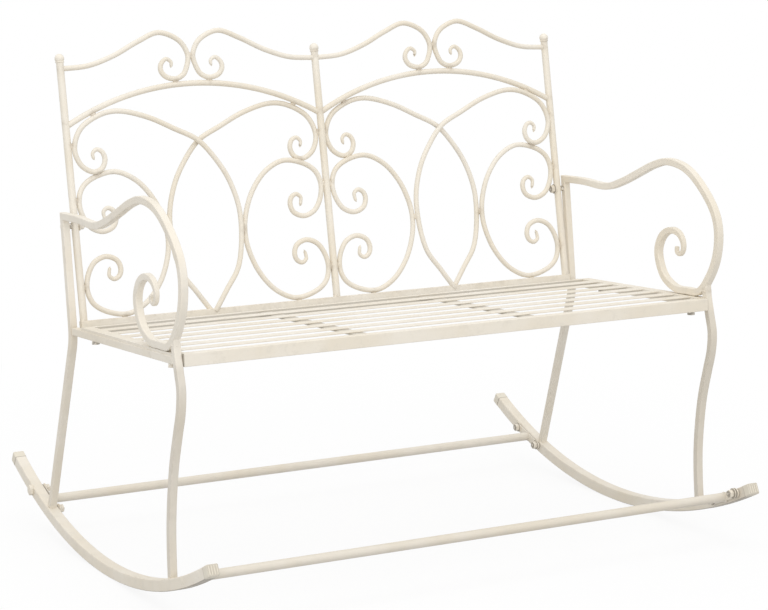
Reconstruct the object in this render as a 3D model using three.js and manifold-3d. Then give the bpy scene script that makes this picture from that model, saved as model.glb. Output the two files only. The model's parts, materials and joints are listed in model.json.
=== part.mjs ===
// Two-seat rocking bench in painted steel: scrolled back, slatted seat, side frames on curved rockers.
// Millimetres, +Z up, front towards -Y, +X to the right as seen from the front.
// The origin is on the floor, midway between the rocker tips.
// Left and right in the names are as seen from the front.
import * as THREE from "three";
import { mergeVertices } from "three/addons/utils/BufferGeometryUtils.js";
import Module from "manifold-3d";

const wasm = await Module();
wasm.setup();

// Clearances.
const pieceGap = 0.3;

// Rockers: a square tube bent to one arc, with a push-on cap at each tip.
// The odd number of spans puts a flat under the bench's middle.
const rockerFloorRadius = 925;
const rockerHeight = 20;
const rockerWidth = 20;
const rockerRearReach = 417;
const rockerFrontReach = 421;
const rockerSpans = 19;
const capLength = 16;
const capLip = 0.8;

// Seat, measured down its slope from the top front edge of its front rail.
const seatFrontDepth = -296.5;
const seatFrontHeight = 429.5;
const seatSlope = 3.5;
const slatCount = 7;
const slatWidth = 24;
const slatGap = 25;
const slatThickness = 1.5;
const frontRailDepth = 18;
const frontRailHeight = 21;
const rearRailDepth = 12;
const rearRailHeight = 12.5;
const endRailHeight = 4.5;
const endRailWidth = 20;
const endRailOverhang = 5;
const supportWidth = 24;
const supportThickness = 3;
const supportLeftCentre = -173;
const supportRightCentre = 150;

// Back: three round posts in a panel that leans to the rear, above and behind the seat.
const bay = 490;
const backRise = 420.5;
const backGap = 45;
const backLean = 10.96;
const postRadius = 6.5;
const postSides = 16;
const finialRadius = 8.3;
const finialSteps = 9;
const barRadius = 4.6;
const archBarRadius = 5.1;
const barSides = 8;
const bottomRailSink = 22.3;
const bottomRailHeight = 13;
const bottomRailDepth = 13;

// Scrolls of the back, measured from a post's axis and from the finial centres.
const archRadius = 495;
const archCrown = -53;
const archSpans = 22;
const cScrollReach = 170.5;
const cScrollTop = -199;
const lensArchGap = 14.65;
const lensEndSink = 5;
const crestPeak = 39;
const crestStart = 3;
const scrollSteps = 2;

// Side frames: square tubes, placed from the seat's corners, the back posts and the rocker.
const tubeSize = 12.7;
const collarGap = 5.5;
const rockerSplay = 6;
const splayDrop = 44.5;
const overrun = 40;
const armFrontReach = 16.5;
const armPastPost = 10.65;
const armLift = 2.6;
const armRise = 223.5;
const frontLegSetback = -4;
const frontLegSway = 38;
const frontLegReach = 21.5;
const rearLegSetback = 50.2;
const rearLegSway = 108;
const rearLegKneeDrop = 29.5;
const sideSteps = 2;

// Stretchers between the rockers, and the bolts that hold them.
const stretcherRadius = 8;
const stretcherSides = 16;
const flangeSteps = 6;
const frontStretcherInset = 61.5;
const rearStretcherInset = 127;
const stretcherLift = 2.5;
const flangeLength = 88;
const flangeWidth = 14.5;
const flangeThickness = 3;
const boltSpread = 35;
const boltRadius = 3;
const boltSides = 12;
const boltHeadRadius = 5.8;
const boltHeadThickness = 3;
const nutThickness = 5;
const boltTail = 3;
const hexSides = 6;

// Bolts between the outer posts and the side frames.
const backBoltSink = 17.75;
const collarRadius = 5;

const cream = 0xe6dcc8;
const zincGrey = 0xaaa9a0;

const radians = THREE.MathUtils.degToRad;
const spanSlackShare = 1e-6;

// Places worked out from the sizes above.
const lean = radians(backLean);
const slope = radians(seatSlope);
const seatRearDepth = seatFrontDepth + seatDepth() * Math.cos(slope);
const backTopHeight = seatFrontHeight + backRise;
const railTopDrop = (backRise + bottomRailSink) / Math.cos(lean);
const backTopDepth = seatRearDepth + backGap + railTopDrop * Math.sin(lean);
const sideCentre = bay + postRadius + collarGap + tubeSize / 2;
const rockerCentre = sideCentre + rockerSplay;
const endRailOuter = sideCentre + endRailOverhang;
const endRailInner = endRailOuter - endRailWidth;
const splayStart = seatFrontHeight - splayDrop;
const frontStretcherDepth = rockerShift() - rockerFrontReach + frontStretcherInset;
const rearStretcherDepth = rockerShift() + rockerRearReach - rearStretcherInset;

function paintMaterial() {
  return new THREE.MeshStandardMaterial({ color: cream, roughness: 0.55, metalness: 0.1 });
}

function capMaterial() {
  return new THREE.MeshStandardMaterial({ color: cream, roughness: 0.45, metalness: 0 });
}

function boltMaterial() {
  return new THREE.MeshStandardMaterial({ color: zincGrey, roughness: 0.4, metalness: 0.8 });
}

// A path through given points, whose cross-sections stand square to the bisector at each bend.
class PointPath extends THREE.Curve {
  constructor(points) {
    super();
    this.points = points;
    this.spans = points.length - 1;
  }

  getUtoTmapping(share) {
    return share;
  }

  getPoint(share, target = new THREE.Vector3()) {
    const along = share * this.spans;
    const index = Math.min(Math.floor(along + spanSlackShare), this.spans - 1);
    return target.lerpVectors(this.points[index], this.points[index + 1], along - index);
  }

  getTangent(share, target = new THREE.Vector3()) {
    const index = Math.round(share * this.spans);
    const here = this.points[index];
    const before = this.points[Math.max(index - 1, 0)];
    const after = this.points[Math.min(index + 1, this.spans)];
    const incoming = here.clone().sub(before).normalize();
    const outgoing = after.clone().sub(here).normalize();
    return target.copy(incoming.add(outgoing)).normalize();
  }
}

// Cross-sections.
function roundSection(radius, sides) {
  const corners = [];
  for (let side = 0; side < sides; side += 1) {
    const angle = (side / sides) * Math.PI * 2;
    corners.push(new THREE.Vector2(radius * Math.cos(angle), radius * Math.sin(angle)));
  }
  return new THREE.Shape(corners);
}

function rectSection(across, along) {
  const corners = [
    new THREE.Vector2(-across / 2, -along / 2),
    new THREE.Vector2(across / 2, -along / 2),
    new THREE.Vector2(across / 2, along / 2),
    new THREE.Vector2(-across / 2, along / 2),
  ];
  return new THREE.Shape(corners);
}

function sweep(points, section) {
  const path = new PointPath(points);
  return new THREE.ExtrudeGeometry(section, { steps: path.spans, extrudePath: path });
}

function sweepRound(points, radius, sides = barSides) {
  return sweep(points, roundSection(radius, sides));
}

function sweepRect(points, across, along) {
  return sweep(points, rectSection(across, along));
}

// Solids for cutting and joining.
function solidOf(geometry) {
  const bare = geometry.clone();
  bare.deleteAttribute("normal");
  bare.deleteAttribute("uv");
  const merged = mergeVertices(bare);
  const vertProperties = Float32Array.from(merged.attributes.position.array);
  const triVerts = Uint32Array.from(merged.index.array);
  return new wasm.Manifold(new wasm.Mesh({ numProp: 3, vertProperties, triVerts }));
}

function geometryOf(solid) {
  const result = solid.getMesh();
  const geometry = new THREE.BufferGeometry();
  geometry.setAttribute("position", new THREE.BufferAttribute(result.vertProperties, 3));
  geometry.setIndex(new THREE.BufferAttribute(result.triVerts, 1));
  geometry.computeVertexNormals();
  return geometry;
}

function cutAway(geometry, cutters) {
  let solid = solidOf(geometry);
  for (const cutter of cutters) {
    solid = solid.subtract(solidOf(cutter));
  }
  return geometryOf(solid);
}

function joined(geometries) {
  let solid = solidOf(geometries[0]);
  for (const geometry of geometries.slice(1)) {
    solid = solid.add(solidOf(geometry));
  }
  return geometryOf(solid);
}

function mirroredAcross(geometry) {
  const copy = geometry.index ? geometry.toNonIndexed() : geometry.clone();
  copy.scale(-1, 1, 1);
  const position = copy.attributes.position;
  for (let corner = 0; corner < position.count; corner += 3) {
    const second = new THREE.Vector3().fromBufferAttribute(position, corner + 1);
    const third = new THREE.Vector3().fromBufferAttribute(position, corner + 2);
    position.setXYZ(corner + 1, third.x, third.y, third.z);
    position.setXYZ(corner + 2, second.x, second.y, second.z);
  }
  copy.computeVertexNormals();
  return copy;
}

function addMesh(group, name, geometry, material) {
  const mesh = new THREE.Mesh(geometry, material);
  mesh.name = name;
  group.add(mesh);
  return mesh;
}

// A box from two opposite corners.
function boxBetween(lowX, highX, lowY, highY, lowZ, highZ) {
  const geometry = new THREE.BoxGeometry(highX - lowX, highY - lowY, highZ - lowZ);
  geometry.translate((lowX + highX) / 2, (lowY + highY) / 2, (lowZ + highZ) / 2);
  return geometry;
}

// A rod along X.
function rodAcross(radius, sides, lowX, highX, depth, height) {
  const geometry = new THREE.CylinderGeometry(radius, radius, highX - lowX, sides);
  geometry.rotateZ(Math.PI / 2);
  geometry.translate((lowX + highX) / 2, depth, height);
  return geometry;
}

// Smooth outlines through a few points.
function smoothOutline(corners, steps) {
  const knots = corners.map(([across, up]) => new THREE.Vector3(across, up, 0));
  return new THREE.CatmullRomCurve3(knots).getPoints((knots.length - 1) * steps);
}

// Stretches an outline so that its own bounds fill the given ones.
function fitOutline(points, lowAcross, highAcross, lowUp, highUp) {
  const bounds = new THREE.Box3().setFromPoints(points);
  const wide = bounds.max.x - bounds.min.x;
  const high = bounds.max.y - bounds.min.y;
  for (const point of points) {
    point.x = lowAcross + ((point.x - bounds.min.x) / wide) * (highAcross - lowAcross);
    point.y = lowUp + ((point.y - bounds.min.y) / high) * (highUp - lowUp);
  }
  return points;
}

// The reach in the panel's plane of a contact distance between bars that lie in different planes.
function planeReach(distance, offset) {
  return Math.sqrt(distance * distance - offset * offset);
}

// Back panel shares: across and up, within each scroll's own bounds.
const cScrollHalfShares = [
  [1, 0], [0.97, 0.27], [0.86, 0.6], [0.675, 0.87], [0.45, 1], [0.21, 0.945],
  [0.06, 0.82], [0, 0.62], [0.03, 0.4], [0.12, 0.235], [0.25, 0.175], [0.37, 0.235],
  [0.41, 0.36], [0.385, 0.46], [0.325, 0.5], [0.272, 0.455], [0.272, 0.39], [0.285, 0.33],
];

const lensShares = [
  [0.113, 0.774], [0.107, 0.803], [0.132, 0.822], [0.165, 0.81], [0.18, 0.776], [0.162, 0.735],
  [0.108, 0.7155], [0.033, 0.75], [0, 0.826], [0.04, 0.917], [0.159, 0.982], [0.281, 1],
  [0.463, 0.964], [0.628, 0.9], [0.771, 0.838], [0.87, 0.745], [0.953, 0.624], [1, 0.46],
  [0.962, 0.216], [0.87, 0.1], [0.785, 0],
];

const crestShares = [
  [0, 0.32], [0.2, 0.36], [0.41, 0.55], [0.61, 0.825], [0.78, 1], [0.92, 0.86],
  [1, 0.53], [0.985, 0.25], [0.945, 0.07], [0.885, 0], [0.82, 0.04], [0.775, 0.18],
  [0.785, 0.35], [0.825, 0.43], [0.86, 0.37], [0.858, 0.25],
];

function cScrollOutline() {
  const upper = cScrollHalfShares.slice().reverse();
  const lower = cScrollHalfShares.slice(1).map(([across, up]) => [across, -up]);
  const points = smoothOutline(upper.concat(lower), scrollSteps);
  const clear = postRadius + barRadius + pieceGap;
  const bottom = -railTopDrop + barRadius + pieceGap;
  return fitOutline(points, clear, cScrollReach, bottom, cScrollTop);
}

function lensOffset() {
  return barRadius + pieceGap / 2;
}

// The least distance from an outline to the line of the arch above it.
function archClearance(points) {
  const centre = new THREE.Vector3(bay / 2, archCentre(), 0);
  return archRadius - Math.max(...points.map((point) => point.distanceTo(centre)));
}

function lensOutline() {
  const points = smoothOutline(lensShares, scrollSteps);
  const clearPost = planeReach(postRadius + barRadius + pieceGap, lensOffset());
  const clearScroll = planeReach(barRadius * 2 + pieceGap, lensOffset());
  const reach = bay - cScrollReach - clearScroll;
  const bottom = -railTopDrop - lensEndSink;
  fitOutline(points, clearPost, reach, bottom, archCrown);
  const top = archCrown + archClearance(points) - lensArchGap;
  return fitOutline(points, clearPost, reach, bottom, top);
}

function archCentre() {
  return archCrown - archRadius;
}

// Lowers an outline until its bar rests on the arch below it.
function restOnArch(points) {
  const reach = archRadius + archBarRadius + barRadius + pieceGap;
  let lift = -Infinity;
  for (const point of points) {
    const across = point.x - bay / 2;
    const surface = archCentre() + Math.sqrt(reach * reach - across * across);
    const buried = point.x > bay / 4 ? surface - point.y : -Infinity;
    lift = Math.max(lift, buried);
  }
  for (const point of points) {
    point.y += lift;
  }
  return points;
}

function crestOutline() {
  const points = smoothOutline(crestShares, scrollSteps);
  const reach = bay / 2 - barRadius - pieceGap / 2;
  const height = crestPeak - archCrown - archBarRadius - barRadius;
  fitOutline(points, crestStart, reach, crestPeak - height, crestPeak);
  return restOnArch(points);
}

// Turns an outline beside a post into a path in the panel's plane.
function inPanel(outline, postX, facing, offset) {
  return outline.map((point) => new THREE.Vector3(postX + facing * point.x, offset, point.y));
}

function postCutter(postX) {
  const radius = postRadius + pieceGap;
  const geometry = new THREE.CylinderGeometry(radius, radius, railTopDrop * 2, postSides);
  geometry.rotateX(Math.PI / 2);
  geometry.translate(postX, 0, 0);
  return geometry;
}

function belowRailTop() {
  const deep = bottomRailHeight * 4;
  const top = -railTopDrop + pieceGap;
  return boxBetween(-bay * 2, bay * 2, -deep, deep, top - deep, top);
}

function backBoltCutter(side) {
  const inner = side * (bay - tubeSize);
  const outer = side * (sideCentre + tubeSize);
  const low = Math.min(inner, outer);
  const high = Math.max(inner, outer);
  return rodAcross(boltRadius + pieceGap, boltSides, low, high, 0, -backBoltDrop());
}

// Places on a post's axis.
function postDepthAt(height) {
  return backTopDepth - (backTopHeight - height) * Math.tan(lean);
}

function backBoltHeight() {
  return armEndHeight() - backBoltSink;
}

function backBoltDrop() {
  return (backTopHeight - backBoltHeight()) / Math.cos(lean);
}

function backBoltPlace() {
  return new THREE.Vector3(0, postDepthAt(backBoltHeight()), backBoltHeight());
}

function postGeometry(side) {
  const top = -planeReach(finialRadius, postRadius) - pieceGap;
  const bottom = -railTopDrop + pieceGap;
  const geometry = new THREE.CylinderGeometry(postRadius, postRadius, top - bottom, postSides);
  geometry.rotateX(Math.PI / 2);
  geometry.translate(side * bay, 0, (top + bottom) / 2);
  return side === 0 ? geometry : cutAway(geometry, [backBoltCutter(side)]);
}

function finialGeometry(postX) {
  const flat = -planeReach(finialRadius, postRadius);
  const start = Math.atan2(flat, postRadius);
  const profile = [new THREE.Vector2(0, flat)];
  for (let step = 0; step < finialSteps; step += 1) {
    const angle = start + ((Math.PI / 2 - start) * step) / finialSteps;
    profile.push(new THREE.Vector2(finialRadius * Math.cos(angle), finialRadius * Math.sin(angle)));
  }
  profile.push(new THREE.Vector2(0, finialRadius));
  const geometry = new THREE.LatheGeometry(profile, postSides);
  geometry.rotateX(Math.PI / 2);
  geometry.translate(postX, 0, 0);
  return geometry;
}

function archGeometry(middleX) {
  const half = bay / 2;
  const swing = Math.asin(half / archRadius);
  const points = [];
  for (let step = 0; step <= archSpans; step += 1) {
    const angle = swing * ((2 * step) / archSpans - 1);
    const across = middleX + archRadius * Math.sin(angle);
    points.push(new THREE.Vector3(across, 0, archCentre() + archRadius * Math.cos(angle)));
  }
  const bar = sweepRound(points, archBarRadius);
  return cutAway(bar, [postCutter(middleX - half), postCutter(middleX + half)]);
}

function bottomRailGeometry() {
  const half = bay + postRadius;
  const deep = bottomRailDepth / 2;
  return boxBetween(-half, half, -deep, deep, -railTopDrop - bottomRailHeight, -railTopDrop);
}

function addScrolls(group, place, postX, facing, front) {
  const offset = front * lensOffset();
  const crest = sweepRound(inPanel(crestOutline(), postX, facing, 0), barRadius);
  const lens = sweepRound(inPanel(lensOutline(), postX, facing, offset), barRadius);
  const ring = sweepRound(inPanel(cScrollOutline(), postX, facing, 0), barRadius);
  addMesh(group, `crest_scroll_${place}`, cutAway(crest, [postCutter(postX)]), paintMaterial());
  addMesh(group, `lens_scroll_${place}`, cutAway(lens, [belowRailTop()]), paintMaterial());
  addMesh(group, `c_scroll_${place}`, ring, paintMaterial());
}

function buildBack() {
  const back = new THREE.Group();
  back.position.set(0, backTopDepth, backTopHeight);
  back.rotation.x = -lean;
  const posts = { left: -1, centre: 0, right: 1 };
  for (const [place, side] of Object.entries(posts)) {
    addMesh(back, `back_post_${place}`, postGeometry(side), paintMaterial());
    addMesh(back, `finial_${place}`, finialGeometry(side * bay), paintMaterial());
  }
  addMesh(back, "arch_left", archGeometry(-bay / 2), paintMaterial());
  addMesh(back, "arch_right", archGeometry(bay / 2), paintMaterial());
  addMesh(back, "back_bottom_rail", bottomRailGeometry(), paintMaterial());
  addScrolls(back, "left_outer", -bay, 1, -1);
  addScrolls(back, "left_inner", 0, -1, 1);
  addScrolls(back, "right_inner", 0, 1, 1);
  addScrolls(back, "right_outer", bay, -1, -1);
  return back;
}

// Rockers: one arc about a centre above the bench.
function rockerShift() {
  const ratio = rockerFloorRadius / (rockerFloorRadius - rockerHeight);
  return ((rockerFrontReach - rockerRearReach) * ratio) / 2;
}

function onRocker(angle, radius) {
  const depth = rockerShift() + radius * Math.sin(angle);
  return new THREE.Vector3(0, depth, rockerFloorRadius - radius * Math.cos(angle));
}

function rockerMiddle() {
  return rockerFloorRadius - rockerHeight / 2;
}

function stretcherLine() {
  return rockerMiddle() - stretcherLift;
}

function rockerAngleAt(depth) {
  return Math.asin((depth - rockerShift()) / stretcherLine());
}

function rockerHeightAt(depth) {
  const along = depth - rockerShift();
  return rockerFloorRadius - Math.sqrt(rockerMiddle() * rockerMiddle() - along * along);
}

function rockerArc(startAngle, endAngle, spans) {
  const points = [];
  const swing = (endAngle - startAngle) / spans;
  const radius = rockerMiddle() / Math.cos(swing / 2);
  for (let step = 0; step <= spans; step += 1) {
    points.push(onRocker(startAngle + swing * step, radius));
  }
  return points;
}

function rockerEnds() {
  const topRadius = rockerFloorRadius - rockerHeight;
  return [-Math.asin(rockerFrontReach / topRadius), Math.asin(rockerRearReach / topRadius)];
}

function shiftedAcross(points, across) {
  return points.map((point) => new THREE.Vector3(across, point.y, point.z));
}

function boltPlaces() {
  const places = [];
  const swing = boltSpread / stretcherLine();
  for (const depth of [frontStretcherDepth, rearStretcherDepth]) {
    const middle = rockerAngleAt(depth);
    places.push(onRocker(middle - swing, stretcherLine()));
    places.push(onRocker(middle + swing, stretcherLine()));
  }
  return places;
}

function stretcherBoltCutters() {
  const low = rockerCentre - rockerWidth;
  const high = rockerCentre + rockerWidth;
  return boltPlaces().map((place) => {
    return rodAcross(boltRadius + pieceGap, boltSides, low, high, place.y, place.z);
  });
}

function capAngle() {
  return (capLength + pieceGap) / rockerMiddle();
}

// The stretch of the arc that a cap fills, in line with the cap, with the gap before it.
function capCutter(tipAngle) {
  const inward = tipAngle - Math.sign(tipAngle) * capAngle();
  const points = shiftedAcross(rockerArc(inward, tipAngle, 1), rockerCentre);
  return sweepRect(points, rockerWidth * 2, rockerHeight * 2);
}

function rockerGeometry() {
  const [front, rear] = rockerEnds();
  const points = rockerArc(front + capAngle() / 2, rear - capAngle() / 2, rockerSpans);
  const bar = sweepRect(shiftedAcross(points, rockerCentre), rockerWidth, rockerHeight);
  return cutAway(bar, [capCutter(front), capCutter(rear), ...stretcherBoltCutters()]);
}

function rockerCutter() {
  const [front, rear] = rockerEnds();
  const points = shiftedAcross(rockerArc(front, rear, rockerSpans), rockerCentre);
  return sweepRect(points, rockerWidth + pieceGap * 2, rockerHeight + pieceGap * 2);
}

function capGeometry(tipAngle) {
  const inward = tipAngle - Math.sign(tipAngle) * (capLength / rockerMiddle());
  const points = shiftedAcross(rockerArc(inward, tipAngle, 1), rockerCentre);
  return sweepRect(points, rockerWidth + capLip, rockerHeight);
}

// Side frame shares: depth and height, within each tube's own reach.
const armShares = [
  [1, 0.685], [0.975, 0.687], [0.843, 0.7], [0.685, 0.7], [0.586, 0.767], [0.487, 0.861],
  [0.388, 0.955], [0.301, 1], [0.19, 0.964], [0.091, 0.826], [0.022, 0.66], [0, 0.508],
  [0.009, 0.315], [0.046, 0.15], [0.1, 0.022], [0.173, 0.002], [0.246, 0], [0.32, 0.083],
  [0.355, 0.262], [0.331, 0.396], [0.28, 0.459], [0.232, 0.441], [0.211, 0.378],
  [0.211, 0.315], [0.229, 0.284],
];

const frontLegShares = [
  [0.505, 1], [0.46, 0.951], [0.22, 0.869], [0, 0.795], [0.053, 0.709], [0.316, 0.623],
  [0.684, 0.499], [0.895, 0.376], [1, 0.252], [0.974, 0.129], [0.855, 0],
];

const rearLegShares = [
  [0.014, 1], [0, 0.952], [0.009, 0.907], [0.06, 0.859], [1, 0],
];

function placed(shares, lowDepth, highDepth, lowHeight, highHeight) {
  return shares.map(([along, up]) => {
    return [lowDepth + along * (highDepth - lowDepth), lowHeight + up * (highHeight - lowHeight)];
  });
}

// A leg's outline runs down to the rocker's middle line.
function placedOnRocker(shares, lowDepth, highDepth, highHeight) {
  const [foot] = shares[shares.length - 1];
  const footHeight = rockerHeightAt(lowDepth + foot * (highDepth - lowDepth));
  return placed(shares, lowDepth, highDepth, footHeight, highHeight);
}

function armLow() {
  return seatFrontHeight + armLift;
}

function armEndHeight() {
  return armLow() + armShares[1][1] * armRise;
}

function armCorners() {
  const front = seatFrontDepth - armFrontReach;
  const rear = postDepthAt(armEndHeight()) + armPastPost;
  return placed(armShares, front, rear, armLow(), armLow() + armRise);
}

function frontLegCorners() {
  const front = seatFrontDepth + frontLegSetback;
  return placedOnRocker(frontLegShares, front, front + frontLegSway, armLow() + frontLegReach);
}

// The rear leg meets the arm at its second corner and runs past it to the mitre.
function rearLegCorners() {
  const front = seatRearDepth + rearLegSetback;
  const knee = seatFrontHeight - rearLegKneeDrop;
  const lower = placedOnRocker(rearLegShares, front, front + rearLegSway, knee);
  const corner = new THREE.Vector2(...armCorners()[1]);
  const upward = corner.clone().sub(new THREE.Vector2(...lower[0])).setLength(tubeSize);
  return [corner.clone().add(upward).toArray(), corner.toArray(), ...lower];
}

function sidePath(corners) {
  return smoothOutline(corners, sideSteps).map((point) => onSide(point.x, point.y));
}

function straightPath(corners) {
  return corners.map(([depth, height]) => onSide(depth, height));
}

// A point of a side frame, which splays outwards from the seat to the rocker.
function onSide(depth, height) {
  const drop = Math.max(splayStart - height, 0) / splayStart;
  return new THREE.Vector3(sideCentre + (rockerCentre - sideCentre) * drop, depth, height);
}

function armPath() {
  return sidePath(armCorners());
}

function frontLegPath() {
  return sidePath(frontLegCorners());
}

function rearLegPath() {
  return straightPath(rearLegCorners());
}

function tubeCutter(path) {
  const fat = tubeSize + pieceGap * 2;
  return sweepRect(path, fat, fat);
}

// The block beyond the mitre between the arm and the rear leg, on the arm's side or the leg's.
function mitreCutter(side) {
  const block = tubeSize * 4;
  const legCorners = rearLegCorners();
  const corner = new THREE.Vector2(...legCorners[1]);
  const alongArm = new THREE.Vector2(...armCorners()[2]).sub(corner).normalize();
  const alongLeg = new THREE.Vector2(...legCorners[2]).sub(corner).normalize();
  const across = alongArm.sub(alongLeg);
  const geometry = new THREE.BoxGeometry(block, block, block);
  geometry.translate(0, 0, (side * (block - pieceGap)) / 2);
  geometry.rotateX(Math.atan2(-across.x, across.y));
  geometry.translate(sideCentre, corner.x, corner.y);
  return geometry;
}

function seatGroup() {
  const group = new THREE.Group();
  group.position.set(0, seatFrontDepth, seatFrontHeight);
  group.rotation.x = -slope;
  group.updateMatrixWorld(true);
  return group;
}

function toSeat(geometry) {
  const copy = geometry.clone();
  copy.applyMatrix4(seatGroup().matrixWorld.clone().invert());
  return copy;
}

function slatPitch() {
  return slatWidth + slatGap;
}

function rearRailStart() {
  return frontRailDepth + slatGap + slatCount * slatPitch();
}

function seatDepth() {
  return rearRailStart() + rearRailDepth;
}

function legCutters() {
  return [toSeat(tubeCutter(frontLegPath())), toSeat(tubeCutter(rearLegPath()))];
}

function endRailGeometry() {
  const front = frontRailDepth + pieceGap;
  const rail = boxBetween(endRailInner, endRailOuter, front, seatDepth(), -endRailHeight, 0);
  return cutAway(rail, legCutters());
}

function sideRailGeometry() {
  const half = tubeSize / 2;
  const top = -endRailHeight - pieceGap;
  const rear = seatDepth() + overrun;
  const rail = boxBetween(sideCentre - half, sideCentre + half, tubeSize, rear, top - tubeSize, top);
  return cutAway(rail, legCutters());
}

function slatGeometry(index) {
  const start = frontRailDepth + slatGap + index * slatPitch();
  const half = endRailInner - pieceGap;
  return boxBetween(-half, half, start, start + slatWidth, -slatThickness, 0);
}

function crossRailGeometry(half, start, depth, height) {
  return boxBetween(-half, half, start, start + depth, -height, 0);
}

function supportGeometry(middle) {
  const half = supportWidth / 2;
  const top = -slatThickness - pieceGap;
  const front = frontRailDepth + pieceGap;
  const rear = rearRailStart() - pieceGap;
  return boxBetween(middle - half, middle + half, front, rear, top - supportThickness, top);
}

function addPair(group, name, geometry, material) {
  addMesh(group, `${name}_right`, geometry, material());
  addMesh(group, `${name}_left`, mirroredAcross(geometry), material());
}

function buildSeat() {
  const seat = seatGroup();
  const frontHalf = sideCentre - tubeSize / 2 - pieceGap;
  const rearHalf = endRailInner - pieceGap;
  const frontRail = crossRailGeometry(frontHalf, 0, frontRailDepth, frontRailHeight);
  const rearRail = crossRailGeometry(rearHalf, rearRailStart(), rearRailDepth, rearRailHeight);
  addMesh(seat, "seat_rail_front", frontRail, paintMaterial());
  addMesh(seat, "seat_rail_rear", rearRail, paintMaterial());
  for (let index = 0; index < slatCount; index += 1) {
    addMesh(seat, `seat_slat_${index + 1}`, slatGeometry(index), paintMaterial());
  }
  addMesh(seat, "seat_support_left", supportGeometry(supportLeftCentre), paintMaterial());
  addMesh(seat, "seat_support_right", supportGeometry(supportRightCentre), paintMaterial());
  addPair(seat, "seat_rail_end", endRailGeometry(), paintMaterial);
  addPair(seat, "side_rail", sideRailGeometry(), paintMaterial);
  return seat;
}

// Bolts: a six-sided head, a round shank and a six-sided nut in one, along X.
function hexAcross(lowX, highX, place) {
  return rodAcross(boltHeadRadius, hexSides, lowX, highX, place.y, place.z);
}

function stretcherBoltGeometry(place) {
  const outer = rockerCentre + rockerWidth / 2 + pieceGap;
  const inner = rockerCentre - rockerWidth / 2 - pieceGap * 2 - flangeThickness;
  const tail = inner - nutThickness - boltTail;
  const shank = rodAcross(boltRadius, boltSides, tail, outer + boltHeadThickness / 2, place.y, place.z);
  const head = hexAcross(outer, outer + boltHeadThickness, place);
  const nut = hexAcross(inner - nutThickness, inner, place);
  return joined([shank, head, nut]);
}

function backBoltGeometry() {
  const place = backBoltPlace();
  const outer = sideCentre + tubeSize / 2 + pieceGap;
  const inner = bay - postRadius - pieceGap;
  const tail = inner - nutThickness - boltTail;
  const shank = rodAcross(boltRadius, boltSides, tail, outer + boltHeadThickness / 2, place.y, place.z);
  const head = hexAcross(outer, outer + boltHeadThickness, place);
  const nut = hexAcross(inner - nutThickness, inner, place);
  const collarLow = bay + postRadius + pieceGap;
  const collarHigh = sideCentre - tubeSize / 2 - pieceGap;
  const collar = rodAcross(collarRadius, boltSides, collarLow, collarHigh, place.y, place.z);
  return joined([shank, head, nut, collar]);
}

function armGeometry() {
  return cutAway(sweepRect(armPath(), tubeSize, tubeSize), [mitreCutter(-1)]);
}

function frontLegGeometry() {
  const leg = sweepRect(frontLegPath(), tubeSize, tubeSize);
  return cutAway(leg, [tubeCutter(armPath()), rockerCutter()]);
}

function rearLegGeometry() {
  const place = backBoltPlace();
  const low = sideCentre - tubeSize;
  const high = sideCentre + tubeSize;
  const hole = rodAcross(boltRadius + pieceGap, boltSides, low, high, place.y, place.z);
  const leg = sweepRect(rearLegPath(), tubeSize, tubeSize);
  return cutAway(leg, [mitreCutter(1), rockerCutter(), hole]);
}

function buildSides() {
  const sides = new THREE.Group();
  const [front, rear] = rockerEnds();
  addPair(sides, "arm", armGeometry(), paintMaterial);
  addPair(sides, "front_leg", frontLegGeometry(), paintMaterial);
  addPair(sides, "rear_leg", rearLegGeometry(), paintMaterial);
  addPair(sides, "rocker", rockerGeometry(), paintMaterial);
  addPair(sides, "rocker_cap_front", capGeometry(front), capMaterial);
  addPair(sides, "rocker_cap_rear", capGeometry(rear), capMaterial);
  addPair(sides, "back_bolt", backBoltGeometry(), boltMaterial);
  const names = ["front_low", "front_high", "rear_low", "rear_high"];
  const [frontHigh, frontLow, rearLow, rearHigh] = boltPlaces();
  const ordered = [frontLow, frontHigh, rearLow, rearHigh];
  names.forEach((name, index) => {
    addPair(sides, `stretcher_bolt_${name}`, stretcherBoltGeometry(ordered[index]), boltMaterial);
  });
  return sides;
}

// Stretchers: a round tube with an oblong flange plate at each end, following the rocker.
function flangeShape() {
  const straight = flangeLength / 2 - flangeWidth / 2;
  const shape = new THREE.Shape();
  shape.absarc(straight, 0, flangeWidth / 2, -Math.PI / 2, Math.PI / 2);
  shape.absarc(-straight, 0, flangeWidth / 2, Math.PI / 2, Math.PI * 1.5);
  return shape;
}

function flangeGeometry(depth) {
  const angle = rockerAngleAt(depth);
  const middle = onRocker(angle, stretcherLine());
  const geometry = new THREE.ExtrudeGeometry(flangeShape(), {
    depth: flangeThickness,
    bevelEnabled: false,
    curveSegments: flangeSteps,
  });
  geometry.rotateZ(angle);
  geometry.rotateX(Math.PI / 2);
  geometry.rotateZ(Math.PI / 2);
  const face = rockerCentre - rockerWidth / 2 - pieceGap;
  geometry.translate(face - flangeThickness, middle.y, middle.z);
  return cutAway(geometry, stretcherBoltCutters());
}

function stretcherGeometry(depth) {
  const middle = onRocker(rockerAngleAt(depth), stretcherLine());
  const half = rockerCentre - rockerWidth / 2 - pieceGap - flangeThickness / 2;
  const tube = rodAcross(stretcherRadius, stretcherSides, -half, half, middle.y, middle.z);
  const flange = flangeGeometry(depth);
  return joined([tube, flange, mirroredAcross(flange)]);
}

const bench = new THREE.Group();
bench.add(buildBack());
bench.add(buildSeat());
bench.add(buildSides());
addMesh(bench, "stretcher_front", stretcherGeometry(frontStretcherDepth), paintMaterial());
addMesh(bench, "stretcher_rear", stretcherGeometry(rearStretcherDepth), paintMaterial());

export default bench;
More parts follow.
